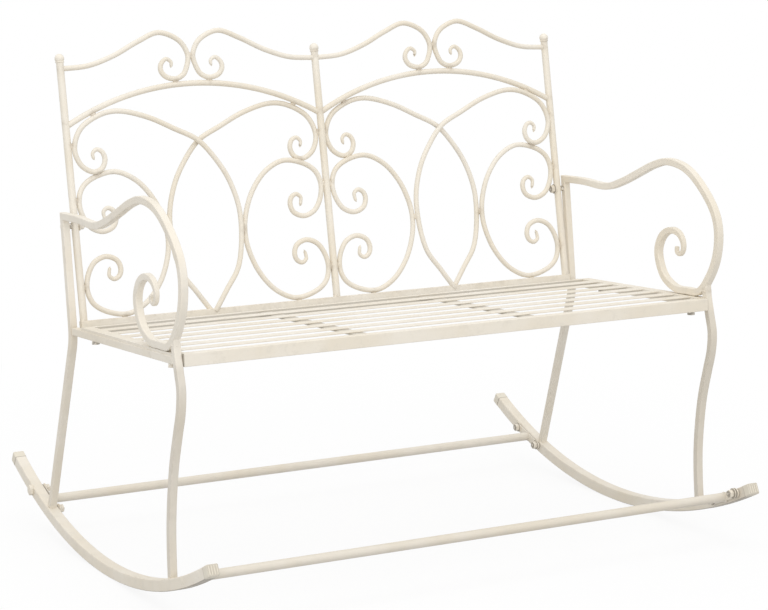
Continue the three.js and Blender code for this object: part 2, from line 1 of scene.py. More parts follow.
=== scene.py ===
# Dresses the rocking bench: smooth tubes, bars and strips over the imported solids, with welds, fasteners
# and worn cream paint. Sizes are in millimetres, and in metres for materials, stage, lamps and camera.
import json
import math

import bmesh
import bpy
import numpy as np
from mathutils import Matrix, Vector, noise

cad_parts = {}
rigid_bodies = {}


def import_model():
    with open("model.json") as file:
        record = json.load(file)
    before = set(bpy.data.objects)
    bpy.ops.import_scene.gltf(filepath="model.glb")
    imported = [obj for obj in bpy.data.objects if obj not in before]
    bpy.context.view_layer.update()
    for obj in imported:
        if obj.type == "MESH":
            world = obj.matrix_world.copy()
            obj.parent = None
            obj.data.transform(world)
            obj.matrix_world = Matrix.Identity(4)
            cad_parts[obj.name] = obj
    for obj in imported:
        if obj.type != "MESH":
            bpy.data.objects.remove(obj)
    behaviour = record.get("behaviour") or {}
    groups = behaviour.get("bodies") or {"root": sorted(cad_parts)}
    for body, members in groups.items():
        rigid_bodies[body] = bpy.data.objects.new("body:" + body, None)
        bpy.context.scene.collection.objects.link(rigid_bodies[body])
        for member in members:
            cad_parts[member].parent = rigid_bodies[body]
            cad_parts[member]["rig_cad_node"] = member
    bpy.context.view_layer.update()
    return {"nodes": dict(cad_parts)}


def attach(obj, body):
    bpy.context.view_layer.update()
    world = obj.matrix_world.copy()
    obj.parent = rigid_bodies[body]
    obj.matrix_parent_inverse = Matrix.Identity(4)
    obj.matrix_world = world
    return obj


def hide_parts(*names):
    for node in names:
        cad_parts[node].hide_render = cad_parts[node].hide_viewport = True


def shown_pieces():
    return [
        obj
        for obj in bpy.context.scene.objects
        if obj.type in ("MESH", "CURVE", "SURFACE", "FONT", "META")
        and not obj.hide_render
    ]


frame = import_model()

METRE = 0.001
BODY = "root"
SIDES = {"left": -1, "right": 1}
ACROSS = Vector((1, 0, 0))
UP = Vector((0, 0, 1))

# Sizes shared with the solids
PIECE_GAP = 0.3
ROCKER_RADIUS = 925
ROCKER_SIZE = 20
ROCKER_REAR = 417
ROCKER_FRONT = 421
CAP_LENGTH = 16
CAP_LIP = 0.8
SEAT_FRONT_DEPTH = -296.5
SEAT_FRONT_HEIGHT = 429.5
SEAT_SLOPE = math.radians(3.5)
SLAT_COUNT = 7
SLAT_WIDTH = 24
SLAT_GAP = 25
FRONT_RAIL_DEPTH = 18
REAR_RAIL_DEPTH = 12
END_RAIL_HEIGHT = 4.5
BAY = 490
BACK_RISE = 420.5
BACK_GAP = 45
LEAN = math.radians(10.96)
POST_RADIUS = 6.5
FINIAL_RADIUS = 8.3
BAR_RADIUS = 4.6
ARCH_BAR_RADIUS = 5.1
BOTTOM_RAIL_SINK = 22.3
BOTTOM_RAIL_SIZE = 13
ARCH_RADIUS = 495
ARCH_CROWN = -53
C_SCROLL_REACH = 170.5
C_SCROLL_TOP = -199
LENS_ARCH_GAP = 14.65
LENS_END_SINK = 5
CREST_PEAK = 39
CREST_START = 3
TUBE_SIZE = 12.7
COLLAR_RADIUS = 5
COLLAR_GAP = 5.5
ROCKER_SPLAY = 6
SPLAY_DROP = 44.5
ARM_FRONT_REACH = 16.5
ARM_PAST_POST = 10.65
ARM_LIFT = 2.6
ARM_RISE = 223.5
FRONT_LEG_SETBACK = -4
FRONT_LEG_SWAY = 38
FRONT_LEG_REACH = 21.5
REAR_LEG_SETBACK = 50.2
REAR_LEG_SWAY = 108
REAR_LEG_KNEE_DROP = 29.5
STRETCHER_RADIUS = 8
FRONT_STRETCHER_INSET = 61.5
REAR_STRETCHER_INSET = 127
STRETCHER_LIFT = 2.5
FLANGE_LENGTH = 88
FLANGE_WIDTH = 14.5
FLANGE_THICKNESS = 3
BOLT_SPREAD = 35
BOLT_RADIUS = 3
BACK_BOLT_SINK = 17.75

# Edges and curls
TUBE_CORNER = 1.7
ROCKER_CORNER = 2.2
STRIP_EDGE = 0.4
RAIL_EDGE = 1.2
FLANGE_EDGE = 0.6
SCROLL_TIP_EDGE = 0.9 * BAR_RADIUS
CURL_TAPER = 55
CURL_TIP_SHARE = 0.62
ARM_TIP_EDGE = 1.5
ARM_CURL_TAPER = 130
ARM_CURL_TIP_SHARE = 0.52
FRONT_LEG_TOP_SCALE = 0.94
KNEE_CUT = 0.25
CAP_ROUND_START = 0.86
CAP_ROUND_DEPTH = 0.16
CAP_RIBS = 4
CAP_RIB_WIDTH = 2.2

# Fasteners: a turned part is its kind, radius, length and edge
WASHER_THICKNESS = 1.8
NUT_RADIUS = 7.3
NECK_RADIUS = 6
NECK_EDGE = 0.1
WASHER = ("washer", 9.2, WASHER_THICKNESS, 0.3)
NUT = ("hex", NUT_RADIUS, 7, 0.8)
LOWER_NECK = ("neck", NECK_RADIUS, 2.6, NECK_EDGE)
UPPER_NECK = ("neck", NECK_RADIUS, 1.4, NECK_EDGE)
NUT_STACK = (WASHER, NUT)
LONG_NUT_STACK = (WASHER, LOWER_NECK, WASHER, UPPER_NECK, NUT)
LONG_BOLTS = {("front", "high", "right")}
COLLAR = ("collar", COLLAR_RADIUS, COLLAR_GAP, 0.25)
HEAD_RADIUS = 5.8
HEAD_HEIGHT = 0.6
HEAD_TIP_SCALE = 0.05
RAISED_HEAD = ("hex", 9.6, 6.6, 1.4)
RAISED_HEADS = {("rear", "high", "left")}
SHANK_EDGE = 0.1
THREAD_LENGTH = 1.5
THREAD_STEP = 0.5
THREAD_ROOT_SCALE = 0.88

# Seat bolts: the distance behind the seat's front edge, the nut's height, and whether it is painted
SEAT_BOLTS = {
    ("front", "left"): (30, 4.6, True),
    ("front", "right"): (62, 16, False),
    ("rear", "left"): (346, 4, False),
    ("rear", "right"): (346, 4, False),
}
SEAT_WASHER = ("washer", TUBE_SIZE / 2, WASHER_THICKNESS, 0.3)
SEAT_NUT_EDGE = 0.6

# Welds: a bead lies where two bars touch, and a ring goes round the end of a bar
BEAD_RADIUS = 3.1
BEAD_SHAPE = (0.85, 0.85, 1.7)
BEAD_LUMP = 0.22
BEAD_LUMP_SCALE = 2.1
BEAD_SEED_STEP = 3.7
RING_RADIUS = 1.25
RING_LIFT = 0.1
RING_LUMP = 0.3
RING_LUMP_SCALE = 3
RING_SEED_STEP = 1.3
FINIAL_RING_DROP = 0.72
FOOT_RING_LIFT = 1
CONTACT_GAP = 1.4
CONTACT_SLACK = 1.5
CONTACT_SPACING = 34
CONTACT_TRIES = 4000
STAIN_REACH = 11

# Painted shade: how much darker each surface is painted, from 0 to 1, where shade falls on it
BAR_SHADE = 0.04
RAIL_SHADE = 0.5
RAIL_END_SHADE = 0.9
SUPPORT_SHADE = 0.6
FRONT_LEG_SHADE = 0.28
REAR_LEG_SHADE = 0.1
ROCKER_BOTTOM_SHADE = 0.92
ROCKER_SIDE_SHADE = 0.03
ROCKER_TIP_SHADE = 0.16
ROCKER_TIP_REACH = 90
CAP_SEAM_SHADE = 0.9
CAP_FACE_SHADE = 0.5
CAP_SIDE_SHADE = 0.12
STRETCHER_SHADE = {"front": 0.21, "rear": 0.09}
NUT_SHADE = 0.9

# How much wear a surface takes, from 0 to 1. A tube's corners take it fully.
BAR_RUB = 0.25
FLANGE_RUB = 0.3
EDGE_RUB = 0.5
NUT_RUB = 1

# How fine the meshes are
BAR_SIDES = 14
POST_SIDES = 28
WASHER_SIDES = 20
HEX_SIDES = 6
HEAD_SIDES = 24
RIB_SIDES = 12
BALL_RINGS = 18
RING_SIDES = 56
RING_THICKNESS_SIDES = 8
BEAD_SUBDIVISIONS = 3
FLOOR_SIDES = 96
CURVE_STEPS = 6
CORNER_STEPS = 4
FLANGE_END_STEPS = 10
EDGE_STEPS = 3
HEAD_STEPS = 8
POST_STEPS = 24
ARCH_STEPS = 64
BOTTOM_RAIL_STEP = 5
REAR_LEG_TOP_STEPS = 8
KNEE_ROUNDS = 2
ROCKER_STEPS = 84
CAP_STEPS = 28
STRETCHER_STEPS = 48
MERGE_DISTANCE = 0.01
UNDERSIDE = -0.9
FLAT_ANGLE = math.radians(1)
EDGE_ANGLE = math.radians(30)
SHARP_ANGLE = 35
BALL_SHARP_ANGLE = 60
WELD_SHARP_ANGLE = 80

# Colours
CREAM_LIGHT = (0.84, 0.785, 0.69)
CREAM_WARM = (0.80, 0.73, 0.61)
CREAM_GREY = (0.74, 0.70, 0.62)
CREAM_TAN = (0.64, 0.55, 0.43)
RUB_BROWN = (0.36, 0.28, 0.19)
# The colour that painted shade mixes in, by each vertex's shade value
PAINTED_SHADE_GREY = (0.40, 0.36, 0.30)
CAP_LIGHT = (0.84, 0.79, 0.68)
CAP_SHADE = (0.78, 0.72, 0.60)
ZINC_LIGHT = (0.32, 0.29, 0.24)
ZINC_DARK = (0.11, 0.095, 0.075)
FLOOR_WHITE = (0.9, 0.9, 0.9)
FLOOR_BOUNCE = (0.54, 0.54, 0.54)

# Stage, lamps and camera, in metres. A lamp is its place, size and power.
FLOOR_REACH = 30.0
FLOOR_HEIGHT = -0.0005
FLOOR_FADE_START = 0.75
FLOOR_FADE_END = 1.7
FLOOR_GLOW = 0.88
WORLD_STRENGTH = 0.87
LAMP_TARGET = Vector((0, 0, 0.4))
LAMPS = {
    "key": (Vector((-0.6, -1.2, 5.8)), 4.0, 68),
    "fill": (Vector((-3.2, -7.2, 2.6)), 5.0, 140),
}
CAMERA_PLACE = (-2.0652, -3.7949, 1.2100)
CAMERA_YAW = math.radians(-28.756)
CAMERA_PITCH = math.radians(10.427)
CAMERA_LENS = 117.19
CAMERA_SENSOR = 36

# Places worked out from the sizes
SLAT_PITCH = SLAT_WIDTH + SLAT_GAP
SEAT_LENGTH = FRONT_RAIL_DEPTH + SLAT_GAP + SLAT_COUNT * SLAT_PITCH + REAR_RAIL_DEPTH
SEAT_REAR_DEPTH = SEAT_FRONT_DEPTH + SEAT_LENGTH * math.cos(SEAT_SLOPE)
BACK_TOP_HEIGHT = SEAT_FRONT_HEIGHT + BACK_RISE
RAIL_TOP_DROP = (BACK_RISE + BOTTOM_RAIL_SINK) / math.cos(LEAN)
BACK_TOP_DEPTH = SEAT_REAR_DEPTH + BACK_GAP + RAIL_TOP_DROP * math.sin(LEAN)
SIDE_CENTRE = BAY + POST_RADIUS + COLLAR_GAP + TUBE_SIZE / 2
ROCKER_CENTRE = SIDE_CENTRE + ROCKER_SPLAY
SPLAY_START = SEAT_FRONT_HEIGHT - SPLAY_DROP
ROCKER_MIDDLE = ROCKER_RADIUS - ROCKER_SIZE / 2
STRETCHER_LINE = ROCKER_MIDDLE - STRETCHER_LIFT
ROCKER_TOP = ROCKER_RADIUS - ROCKER_SIZE
ROCKER_SHIFT = (ROCKER_FRONT - ROCKER_REAR) * ROCKER_RADIUS / ROCKER_TOP / 2
ARCH_CENTRE = ARCH_CROWN - ARCH_RADIUS
LENS_OFFSET = BAR_RADIUS + PIECE_GAP / 2
FLANGE_OUTER_FACE = ROCKER_CENTRE - ROCKER_SIZE / 2 - PIECE_GAP
FLANGE_INNER_FACE = FLANGE_OUTER_FACE - FLANGE_THICKNESS
PANEL_NORMAL = Vector((0, math.cos(LEAN), -math.sin(LEAN)))
PANEL_UP = Vector((0, math.sin(LEAN), math.cos(LEAN)))
SEAT_NORMAL = Vector((0, math.sin(SEAT_SLOPE), math.cos(SEAT_SLOPE)))
SEAT_ALONG = Vector((0, math.cos(SEAT_SLOPE), -math.sin(SEAT_SLOPE)))

# Outline shares: across and up, or depth and height, within each bar's own bounds
C_SCROLL_HALF_SHARES = [
    (1, 0), (0.97, 0.27), (0.86, 0.6), (0.675, 0.87), (0.45, 1), (0.21, 0.945),
    (0.06, 0.82), (0, 0.62), (0.03, 0.4), (0.12, 0.235), (0.25, 0.175), (0.37, 0.235),
    (0.41, 0.36), (0.385, 0.46), (0.325, 0.5), (0.272, 0.455), (0.272, 0.39), (0.285, 0.33),
]
LENS_SHARES = [
    (0.113, 0.774), (0.107, 0.803), (0.132, 0.822), (0.165, 0.81), (0.18, 0.776), (0.162, 0.735),
    (0.108, 0.7155), (0.033, 0.75), (0, 0.826), (0.04, 0.917), (0.159, 0.982), (0.281, 1),
    (0.463, 0.964), (0.628, 0.9), (0.771, 0.838), (0.87, 0.745), (0.953, 0.624), (1, 0.46),
    (0.962, 0.216), (0.87, 0.1), (0.785, 0),
]
CREST_SHARES = [
    (0, 0.32), (0.2, 0.36), (0.41, 0.55), (0.61, 0.825), (0.78, 1), (0.92, 0.86),
    (1, 0.53), (0.985, 0.25), (0.945, 0.07), (0.885, 0), (0.82, 0.04), (0.775, 0.18),
    (0.785, 0.35), (0.825, 0.43), (0.86, 0.37), (0.858, 0.25),
]
ARM_SHARES = [
    (1, 0.685), (0.975, 0.687), (0.843, 0.7), (0.685, 0.7), (0.586, 0.767), (0.487, 0.861),
    (0.388, 0.955), (0.301, 1), (0.19, 0.964), (0.091, 0.826), (0.022, 0.66), (0, 0.508),
    (0.009, 0.315), (0.046, 0.15), (0.1, 0.022), (0.173, 0.002), (0.246, 0), (0.32, 0.083),
    (0.355, 0.262), (0.331, 0.392), (0.28, 0.455), (0.23, 0.438), (0.207, 0.378),
    (0.206, 0.315), (0.222, 0.278), (0.242, 0.292), (0.243, 0.335),
]
FRONT_LEG_SHARES = [
    (0.505, 1), (0.46, 0.951), (0.22, 0.869), (0, 0.795), (0.053, 0.709), (0.316, 0.623),
    (0.684, 0.499), (0.895, 0.376), (1, 0.252), (0.974, 0.129), (0.855, 0),
]
REAR_LEG_SHARES = [
    (0.014, 1), (0, 0.952), (0.009, 0.907), (0.06, 0.859), (1, 0),
]

ARM_LOW = SEAT_FRONT_HEIGHT + ARM_LIFT
ARM_END_HEIGHT = ARM_LOW + ARM_SHARES[1][1] * ARM_RISE
BACK_BOLT_HEIGHT = ARM_END_HEIGHT - BACK_BOLT_SINK

# Bars that can touch, each as its points and radius
bars = []

# Welds, each as its place, direction and the bar's radius, or None for a bead
welds = []


def clamped(share):
    return min(max(share, 0), 1)


# Outlines
def smooth_outline(corners):
    """A centripetal Catmull-Rom curve through corners in a plane, as the solids use."""
    knots = [Vector((across, up, 0)) for across, up in corners]
    path = [knots[0] * 2 - knots[1], *knots, knots[-1] * 2 - knots[-2]]
    points = []
    for p0, p1, p2, p3 in zip(path, path[1:], path[2:], path[3:]):
        d0, d1, d2 = (step.length ** 0.5 for step in (p1 - p0, p2 - p1, p3 - p2))
        t1 = ((p1 - p0) / d0 - (p2 - p0) / (d0 + d1) + (p2 - p1) / d1) * d1
        t2 = ((p2 - p1) / d1 - (p3 - p1) / (d1 + d2) + (p3 - p2) / d2) * d1
        for step in range(CURVE_STEPS):
            t = step / CURVE_STEPS
            cubic = (2 * p1 - 2 * p2 + t1 + t2) * t ** 3
            square = (-3 * p1 + 3 * p2 - 2 * t1 - t2) * t ** 2
            points.append(cubic + square + t1 * t + p1)
    points.append(knots[-1].copy())
    return points


def fit_outline(points, low_x, high_x, low_y, high_y):
    """Stretches an outline so that its own bounds fill the given ones."""
    left, right = min(point.x for point in points), max(point.x for point in points)
    bottom, top = min(point.y for point in points), max(point.y for point in points)
    fitted = []
    for point in points:
        x = low_x + (point.x - left) / (right - left) * (high_x - low_x)
        y = low_y + (point.y - bottom) / (top - bottom) * (high_y - low_y)
        fitted.append(Vector((x, y, 0)))
    return fitted


def plane_reach(distance, offset):
    return math.sqrt(distance * distance - offset * offset)


def c_scroll_outline():
    upper = list(reversed(C_SCROLL_HALF_SHARES))
    lower = [(across, -up) for across, up in C_SCROLL_HALF_SHARES[1:]]
    clear = POST_RADIUS + BAR_RADIUS + PIECE_GAP
    bottom = -RAIL_TOP_DROP + BAR_RADIUS + PIECE_GAP
    return fit_outline(smooth_outline(upper + lower), clear, C_SCROLL_REACH, bottom, C_SCROLL_TOP)


def lens_outline():
    clear_post = plane_reach(POST_RADIUS + BAR_RADIUS + PIECE_GAP, LENS_OFFSET)
    clear_scroll = plane_reach(BAR_RADIUS * 2 + PIECE_GAP, LENS_OFFSET)
    reach = BAY - C_SCROLL_REACH - clear_scroll
    bottom = -RAIL_TOP_DROP - LENS_END_SINK
    points = fit_outline(smooth_outline(LENS_SHARES), clear_post, reach, bottom, ARCH_CROWN)
    centre = Vector((BAY / 2, ARCH_CENTRE, 0))
    clearance = ARCH_RADIUS - max((point - centre).length for point in points)
    top = ARCH_CROWN + clearance - LENS_ARCH_GAP
    return fit_outline(points, clear_post, reach, bottom, top)


def rest_on_arch(points):
    """Lifts a crest scroll until its curl rests on the arch."""
    reach = ARCH_RADIUS + ARCH_BAR_RADIUS + BAR_RADIUS + PIECE_GAP
    curl = [point for point in points if point.x > BAY / 4]
    lift = max(ARCH_CENTRE + plane_reach(reach, point.x - BAY / 2) - point.y for point in curl)
    return [point + Vector((0, lift, 0)) for point in points]


def crest_outline():
    reach = BAY / 2 - BAR_RADIUS - PIECE_GAP / 2
    height = CREST_PEAK - ARCH_CROWN - ARCH_BAR_RADIUS - BAR_RADIUS
    points = smooth_outline(CREST_SHARES)
    return rest_on_arch(fit_outline(points, CREST_START, reach, CREST_PEAK - height, CREST_PEAK))


# Places
def in_panel(x, offset, up):
    """A point of the leaning back: across, behind its middle plane, above the finial centres."""
    y = BACK_TOP_DEPTH + offset * math.cos(LEAN) + up * math.sin(LEAN)
    z = BACK_TOP_HEIGHT - offset * math.sin(LEAN) + up * math.cos(LEAN)
    return Vector((x, y, z))


def in_seat(x, along, up):
    """A point of the sloping seat: across, back from the front edge, above the slats."""
    return Vector((x, SEAT_FRONT_DEPTH, SEAT_FRONT_HEIGHT)) + SEAT_ALONG * along + SEAT_NORMAL * up


def on_side(side, depth, height):
    """A point of a side frame, which splays outwards from the seat to the rocker."""
    drop = max(SPLAY_START - height, 0) / SPLAY_START
    return Vector((side * (SIDE_CENTRE + (ROCKER_CENTRE - SIDE_CENTRE) * drop), depth, height))


def post_depth_at(height):
    return BACK_TOP_DEPTH - (BACK_TOP_HEIGHT - height) * math.tan(LEAN)


def rocker_height_at(depth):
    return ROCKER_RADIUS - plane_reach(ROCKER_MIDDLE, depth - ROCKER_SHIFT)


def on_rocker(side, angle, radius):
    """A point on a circle round the rocker's centre. Side 0 lies midway between the rockers."""
    y = ROCKER_SHIFT + radius * math.sin(angle)
    return Vector((side * ROCKER_CENTRE, y, ROCKER_RADIUS - radius * math.cos(angle)))


def rocker_path(side, low, high, steps):
    angles = [low + (high - low) * step / steps for step in range(steps + 1)]
    return [on_rocker(side, angle, ROCKER_MIDDLE) for angle in angles]


def rocker_ends():
    return -math.asin(ROCKER_FRONT / ROCKER_TOP), math.asin(ROCKER_REAR / ROCKER_TOP)


def stretcher_angles():
    along = {"front": FRONT_STRETCHER_INSET - ROCKER_FRONT, "rear": ROCKER_REAR - REAR_STRETCHER_INSET}
    return {place: math.asin(depth / STRETCHER_LINE) for place, depth in along.items()}


def placed(shares, low_y, high_y, low_z, high_z):
    return [(low_y + across * (high_y - low_y), low_z + up * (high_z - low_z)) for across, up in shares]


def leg_corners(shares, front, sway, top):
    """A leg's corners, from its top down to the middle of the rocker."""
    foot = rocker_height_at(front + shares[-1][0] * sway)
    return placed(shares, front, front + sway, foot, top)


def arm_corners():
    front = SEAT_FRONT_DEPTH - ARM_FRONT_REACH
    rear = post_depth_at(ARM_END_HEIGHT) + ARM_PAST_POST
    return placed(ARM_SHARES, front, rear, ARM_LOW, ARM_LOW + ARM_RISE)


def front_leg_corners():
    front = SEAT_FRONT_DEPTH + FRONT_LEG_SETBACK
    return leg_corners(FRONT_LEG_SHARES, front, FRONT_LEG_SWAY, ARM_LOW + FRONT_LEG_REACH)


def rear_leg_corners():
    front = SEAT_REAR_DEPTH + REAR_LEG_SETBACK
    return leg_corners(REAR_LEG_SHARES, front, REAR_LEG_SWAY, SEAT_FRONT_HEIGHT - REAR_LEG_KNEE_DROP)


# Sections: offsets and rub values around a bar
def round_section(radius, sides, rub=BAR_RUB):
    angles = [2 * math.pi * side / sides for side in range(sides)]
    return [(radius * math.cos(angle), radius * math.sin(angle), rub) for angle in angles]


def box_section(wide, high, corner):
    """A tube with rounded corners, rubbed most on the corners."""
    ring = []
    for quarter, (sign_x, sign_y) in enumerate(((1, 1), (-1, 1), (-1, -1), (1, -1))):
        for step in range(CORNER_STEPS + 1):
            angle = math.pi / 2 * (quarter + step / CORNER_STEPS)
            x = sign_x * (wide / 2 - corner) + corner * math.cos(angle)
            y = sign_y * (high / 2 - corner) + corner * math.sin(angle)
            ring.append((x, y, math.sin(math.pi * step / CORNER_STEPS)))
    return ring


def stadium_section(length, width):
    """An oblong plate with half-round ends."""
    ring = []
    straight = length / 2 - width / 2
    for end, sign in ((0, 1), (1, -1)):
        for step in range(FLANGE_END_STEPS + 1):
            angle = math.pi * (end + step / FLANGE_END_STEPS) - math.pi / 2
            x = sign * straight + width / 2 * math.cos(angle)
            ring.append((x, width / 2 * math.sin(angle), FLANGE_RUB))
    return ring


# Paths
def softened(points, half, edge, start=True, end=True):
    """Adds rings that round off the ends of a path. Returns the points and their scales."""
    rings = [(point, 1.0) for point in points]
    for wanted in (end, start):
        if wanted:
            tip, scale = rings.pop()
            inward = (rings[-1][0] - tip).normalized()
            for step in range(EDGE_STEPS + 1):
                angle = math.pi / 2 * step / EDGE_STEPS
                place = tip + inward * edge * (1 - math.sin(angle))
                rings.append((place, 1 - edge * (1 - math.cos(angle)) / half))
        rings.reverse()
    return [place for place, scale in rings], [scale for place, scale in rings]


def curled(points, half, edge, at_start, at_end, taper=CURL_TAPER, tip_share=CURL_TIP_SHARE):
    """Thins and rounds off a bar's curled tips. Returns the points and their scales."""
    points, ends = softened(points, half, edge, at_start, at_end)
    lengths = [0.0]
    for before, after in zip(points, points[1:]):
        lengths.append(lengths[-1] + (after - before).length)
    scales = []
    for length, end in zip(lengths, ends):
        left = length if at_start else taper
        right = lengths[-1] - length if at_end else taper
        share = clamped(min(left, right) / taper)
        eased = share * share * (3 - 2 * share)
        scales.append(end * (tip_share + (1 - tip_share) * eased))
    return points, scales


def rounded_path(points):
    """Cuts the corners of a path, keeping its ends."""
    for turn in range(KNEE_ROUNDS):
        made = [points[0]]
        for before, after in zip(points, points[1:]):
            made += [before.lerp(after, share) for share in (KNEE_CUT, 1 - KNEE_CUT)]
        made.append(points[-1])
        points = made
    return points


# Meshes
def onto_plane(vertex, direction, plane):
    place, normal = plane
    return vertex + direction * ((place - vertex).dot(normal) / direction.dot(normal))


def tube_rings(points, across, section, scales, start_plane):
    rings = []
    last = len(points) - 1
    for index, here in enumerate(points):
        incoming = here - points[max(index - 1, 0)]
        outgoing = points[min(index + 1, last)] - here
        tangent = (incoming.normalized() + outgoing.normalized()).normalized()
        side = tangent.cross(across).normalized()
        face = side.cross(tangent)
        ring = [here + (face * u + side * v) * scales[index] for u, v, rub in section]
        if index == 0 and start_plane:
            ring = [onto_plane(place, tangent, start_plane) for place in ring]
        rings.append(ring)
    return rings


def join_rings(mesh, low, high):
    count = len(low)
    for index in range(count):
        after = (index + 1) % count
        mesh.faces.new((low[index], low[after], high[after], high[index]))


def add_tube(mesh, points, across, section, scales=None, start_plane=None):
    """Adds a closed tube along a path to a bmesh."""
    scales = scales or [1.0] * len(points)
    rub_layer = mesh.verts.layers.float.get("rub") or mesh.verts.layers.float.new("rub")
    rings = []
    for ring in tube_rings(points, across, section, scales, start_plane):
        made = []
        for place, (u, v, rub) in zip(ring, section):
            vertex = mesh.verts.new(place * METRE)
            vertex[rub_layer] = rub
            made.append(vertex)
        rings.append(made)
    for low, high in zip(rings, rings[1:]):
        join_rings(mesh, low, high)
    mesh.faces.new(list(reversed(rings[0])))
    mesh.faces.new(rings[-1])


def mesh_data(name, mesh):
    data = bpy.data.meshes.new(name)
    mesh.to_mesh(data)
    mesh.free()
    return data


def add_object(name, data):
    made = bpy.data.objects.new(name, data)
    bpy.context.scene.collection.objects.link(made)
    return made


def finish_piece(name, mesh, node=None, slot="paint", sharp=SHARP_ANGLE, weighted=False):
    """Turns a bmesh into a piece that rides on the bench and stands for a node."""
    bmesh.ops.recalc_face_normals(mesh, faces=mesh.faces[:])
    data = mesh_data(name, mesh)
    for polygon in data.polygons:
        polygon.use_smooth = True
    data.set_sharp_from_angle(angle=math.radians(sharp))
    data.materials.append(MATERIALS[slot])
    piece = add_object(name, data)
    if weighted:
        modifier = piece.modifiers.new("flat faces", "WEIGHTED_NORMAL")
        modifier.keep_sharp = True
    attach(piece, BODY)
    if node:
        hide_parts(node)
    return piece


def round_bar(name, node, points, across, radius, shade, sides=BAR_SIDES, scales=None):
    mesh = bmesh.new()
    add_tube(mesh, points, across, round_section(radius, sides), scales)
    # The even shade value along the bar is painted shade.
    set_shade(finish_piece(name, mesh, node), lambda point: shade)


def square_tube(name, node, points, scales=None, start_plane=None, size=TUBE_SIZE, corner=TUBE_CORNER):
    mesh = bmesh.new()
    add_tube(mesh, points, ACROSS, box_section(size, size, corner), scales, start_plane)
    return finish_piece(name, mesh, node, weighted=True)


def set_shade(piece, shade_at):
    """Writes how much painted shade darkens each vertex, from its place in millimetres."""
    made = piece.data.attributes.new("shade", "FLOAT", "POINT")
    values = [shade_at(vertex.co / METRE) for vertex in piece.data.vertices]
    made.data.foreach_set("value", values)


def rounded_copy(name, node, edge, sink=0):
    """A copy of a flat-sided solid with rounded edges. Its underside can be lowered."""
    mesh = bmesh.new()
    mesh.from_mesh(frame["nodes"][node].data)
    bmesh.ops.remove_doubles(mesh, verts=mesh.verts[:], dist=MERGE_DISTANCE * METRE)
    under = [face for face in mesh.faces if face.normal.dot(SEAT_NORMAL) < UNDERSIDE]
    for vertex in {vertex for face in under for vertex in face.verts}:
        vertex.co -= SEAT_NORMAL * sink * METRE
    bmesh.ops.dissolve_limit(mesh, angle_limit=FLAT_ANGLE, verts=mesh.verts[:], edges=mesh.edges[:])
    edges = [line for line in mesh.edges
             if len(line.link_faces) == 2 and line.calc_face_angle() > EDGE_ANGLE]
    rub_layer = mesh.verts.layers.float.new("rub")
    made = bmesh.ops.bevel(mesh, geom=edges, offset=edge * METRE, segments=EDGE_STEPS, profile=0.5,
                           affect="EDGES", clamp_overlap=True)
    for vertex in made["verts"]:
        vertex[rub_layer] = EDGE_RUB
    return finish_piece(name, mesh, node, weighted=True)


# Materials
def node_tree(name):
    material = bpy.data.materials.new(name)
    material.use_nodes = True
    tree = material.node_tree
    return material, tree, tree.nodes["Principled BSDF"]


def object_place(tree):
    made = tree.nodes.get("Texture Coordinate") or tree.nodes.new("ShaderNodeTexCoord")
    return made.outputs["Object"]


def feed(tree, node, values):
    """Gives each input of a node its constant, or links it to an output."""
    for socket, value in values.items():
        if isinstance(value, bpy.types.NodeSocket):
            tree.links.new(value, node.inputs[socket])
        else:
            node.inputs[socket].default_value = value


def add_noise(tree, scale, detail, roughness):
    made = tree.nodes.new("ShaderNodeTexNoise")
    feed(tree, made, {"Vector": object_place(tree), "Scale": scale, "Detail": detail,
                      "Roughness": roughness})
    return made.outputs["Fac"]


def spread(tree, value, low, high, out_low=0, out_high=1):
    made = tree.nodes.new("ShaderNodeMapRange")
    made.interpolation_type = "SMOOTHSTEP"
    feed(tree, made, {"Value": value, "From Min": low, "From Max": high,
                      "To Min": out_low, "To Max": out_high})
    return made.outputs["Result"]


def arithmetic(tree, operation, first, second):
    made = tree.nodes.new("ShaderNodeMath")
    made.operation = operation
    feed(tree, made, {0: first, 1: second})
    return made.outputs["Value"]


def mix_colour(tree, factor, first, second):
    made = tree.nodes.new("ShaderNodeMix")
    made.data_type = "RGBA"
    sockets = [index for index, socket in enumerate(made.inputs) if socket.type == "RGBA"]
    colours = [(*value, 1) if isinstance(value, tuple) else value for value in (first, second)]
    feed(tree, made, {"Factor": factor, **dict(zip(sockets, colours))})
    return next(socket for socket in made.outputs if socket.type == "RGBA")


def add_layer(tree, base, colour, mask, low, high, amount=1):
    """Lays a colour over a base where the mask rises from low to high."""
    return mix_colour(tree, spread(tree, mask, low, high, 0, amount), base, colour)


def attribute(tree, name):
    made = tree.nodes.new("ShaderNodeAttribute")
    made.attribute_name = name
    return made.outputs["Fac"]


def finish_surface(tree, shader, base, roughness, grain, strength, distance):
    bump = tree.nodes.new("ShaderNodeBump")
    feed(tree, bump, {"Height": grain, "Strength": strength, "Distance": distance})
    feed(tree, shader, {"Base Color": base, "Roughness": roughness, "Normal": bump.outputs["Normal"]})


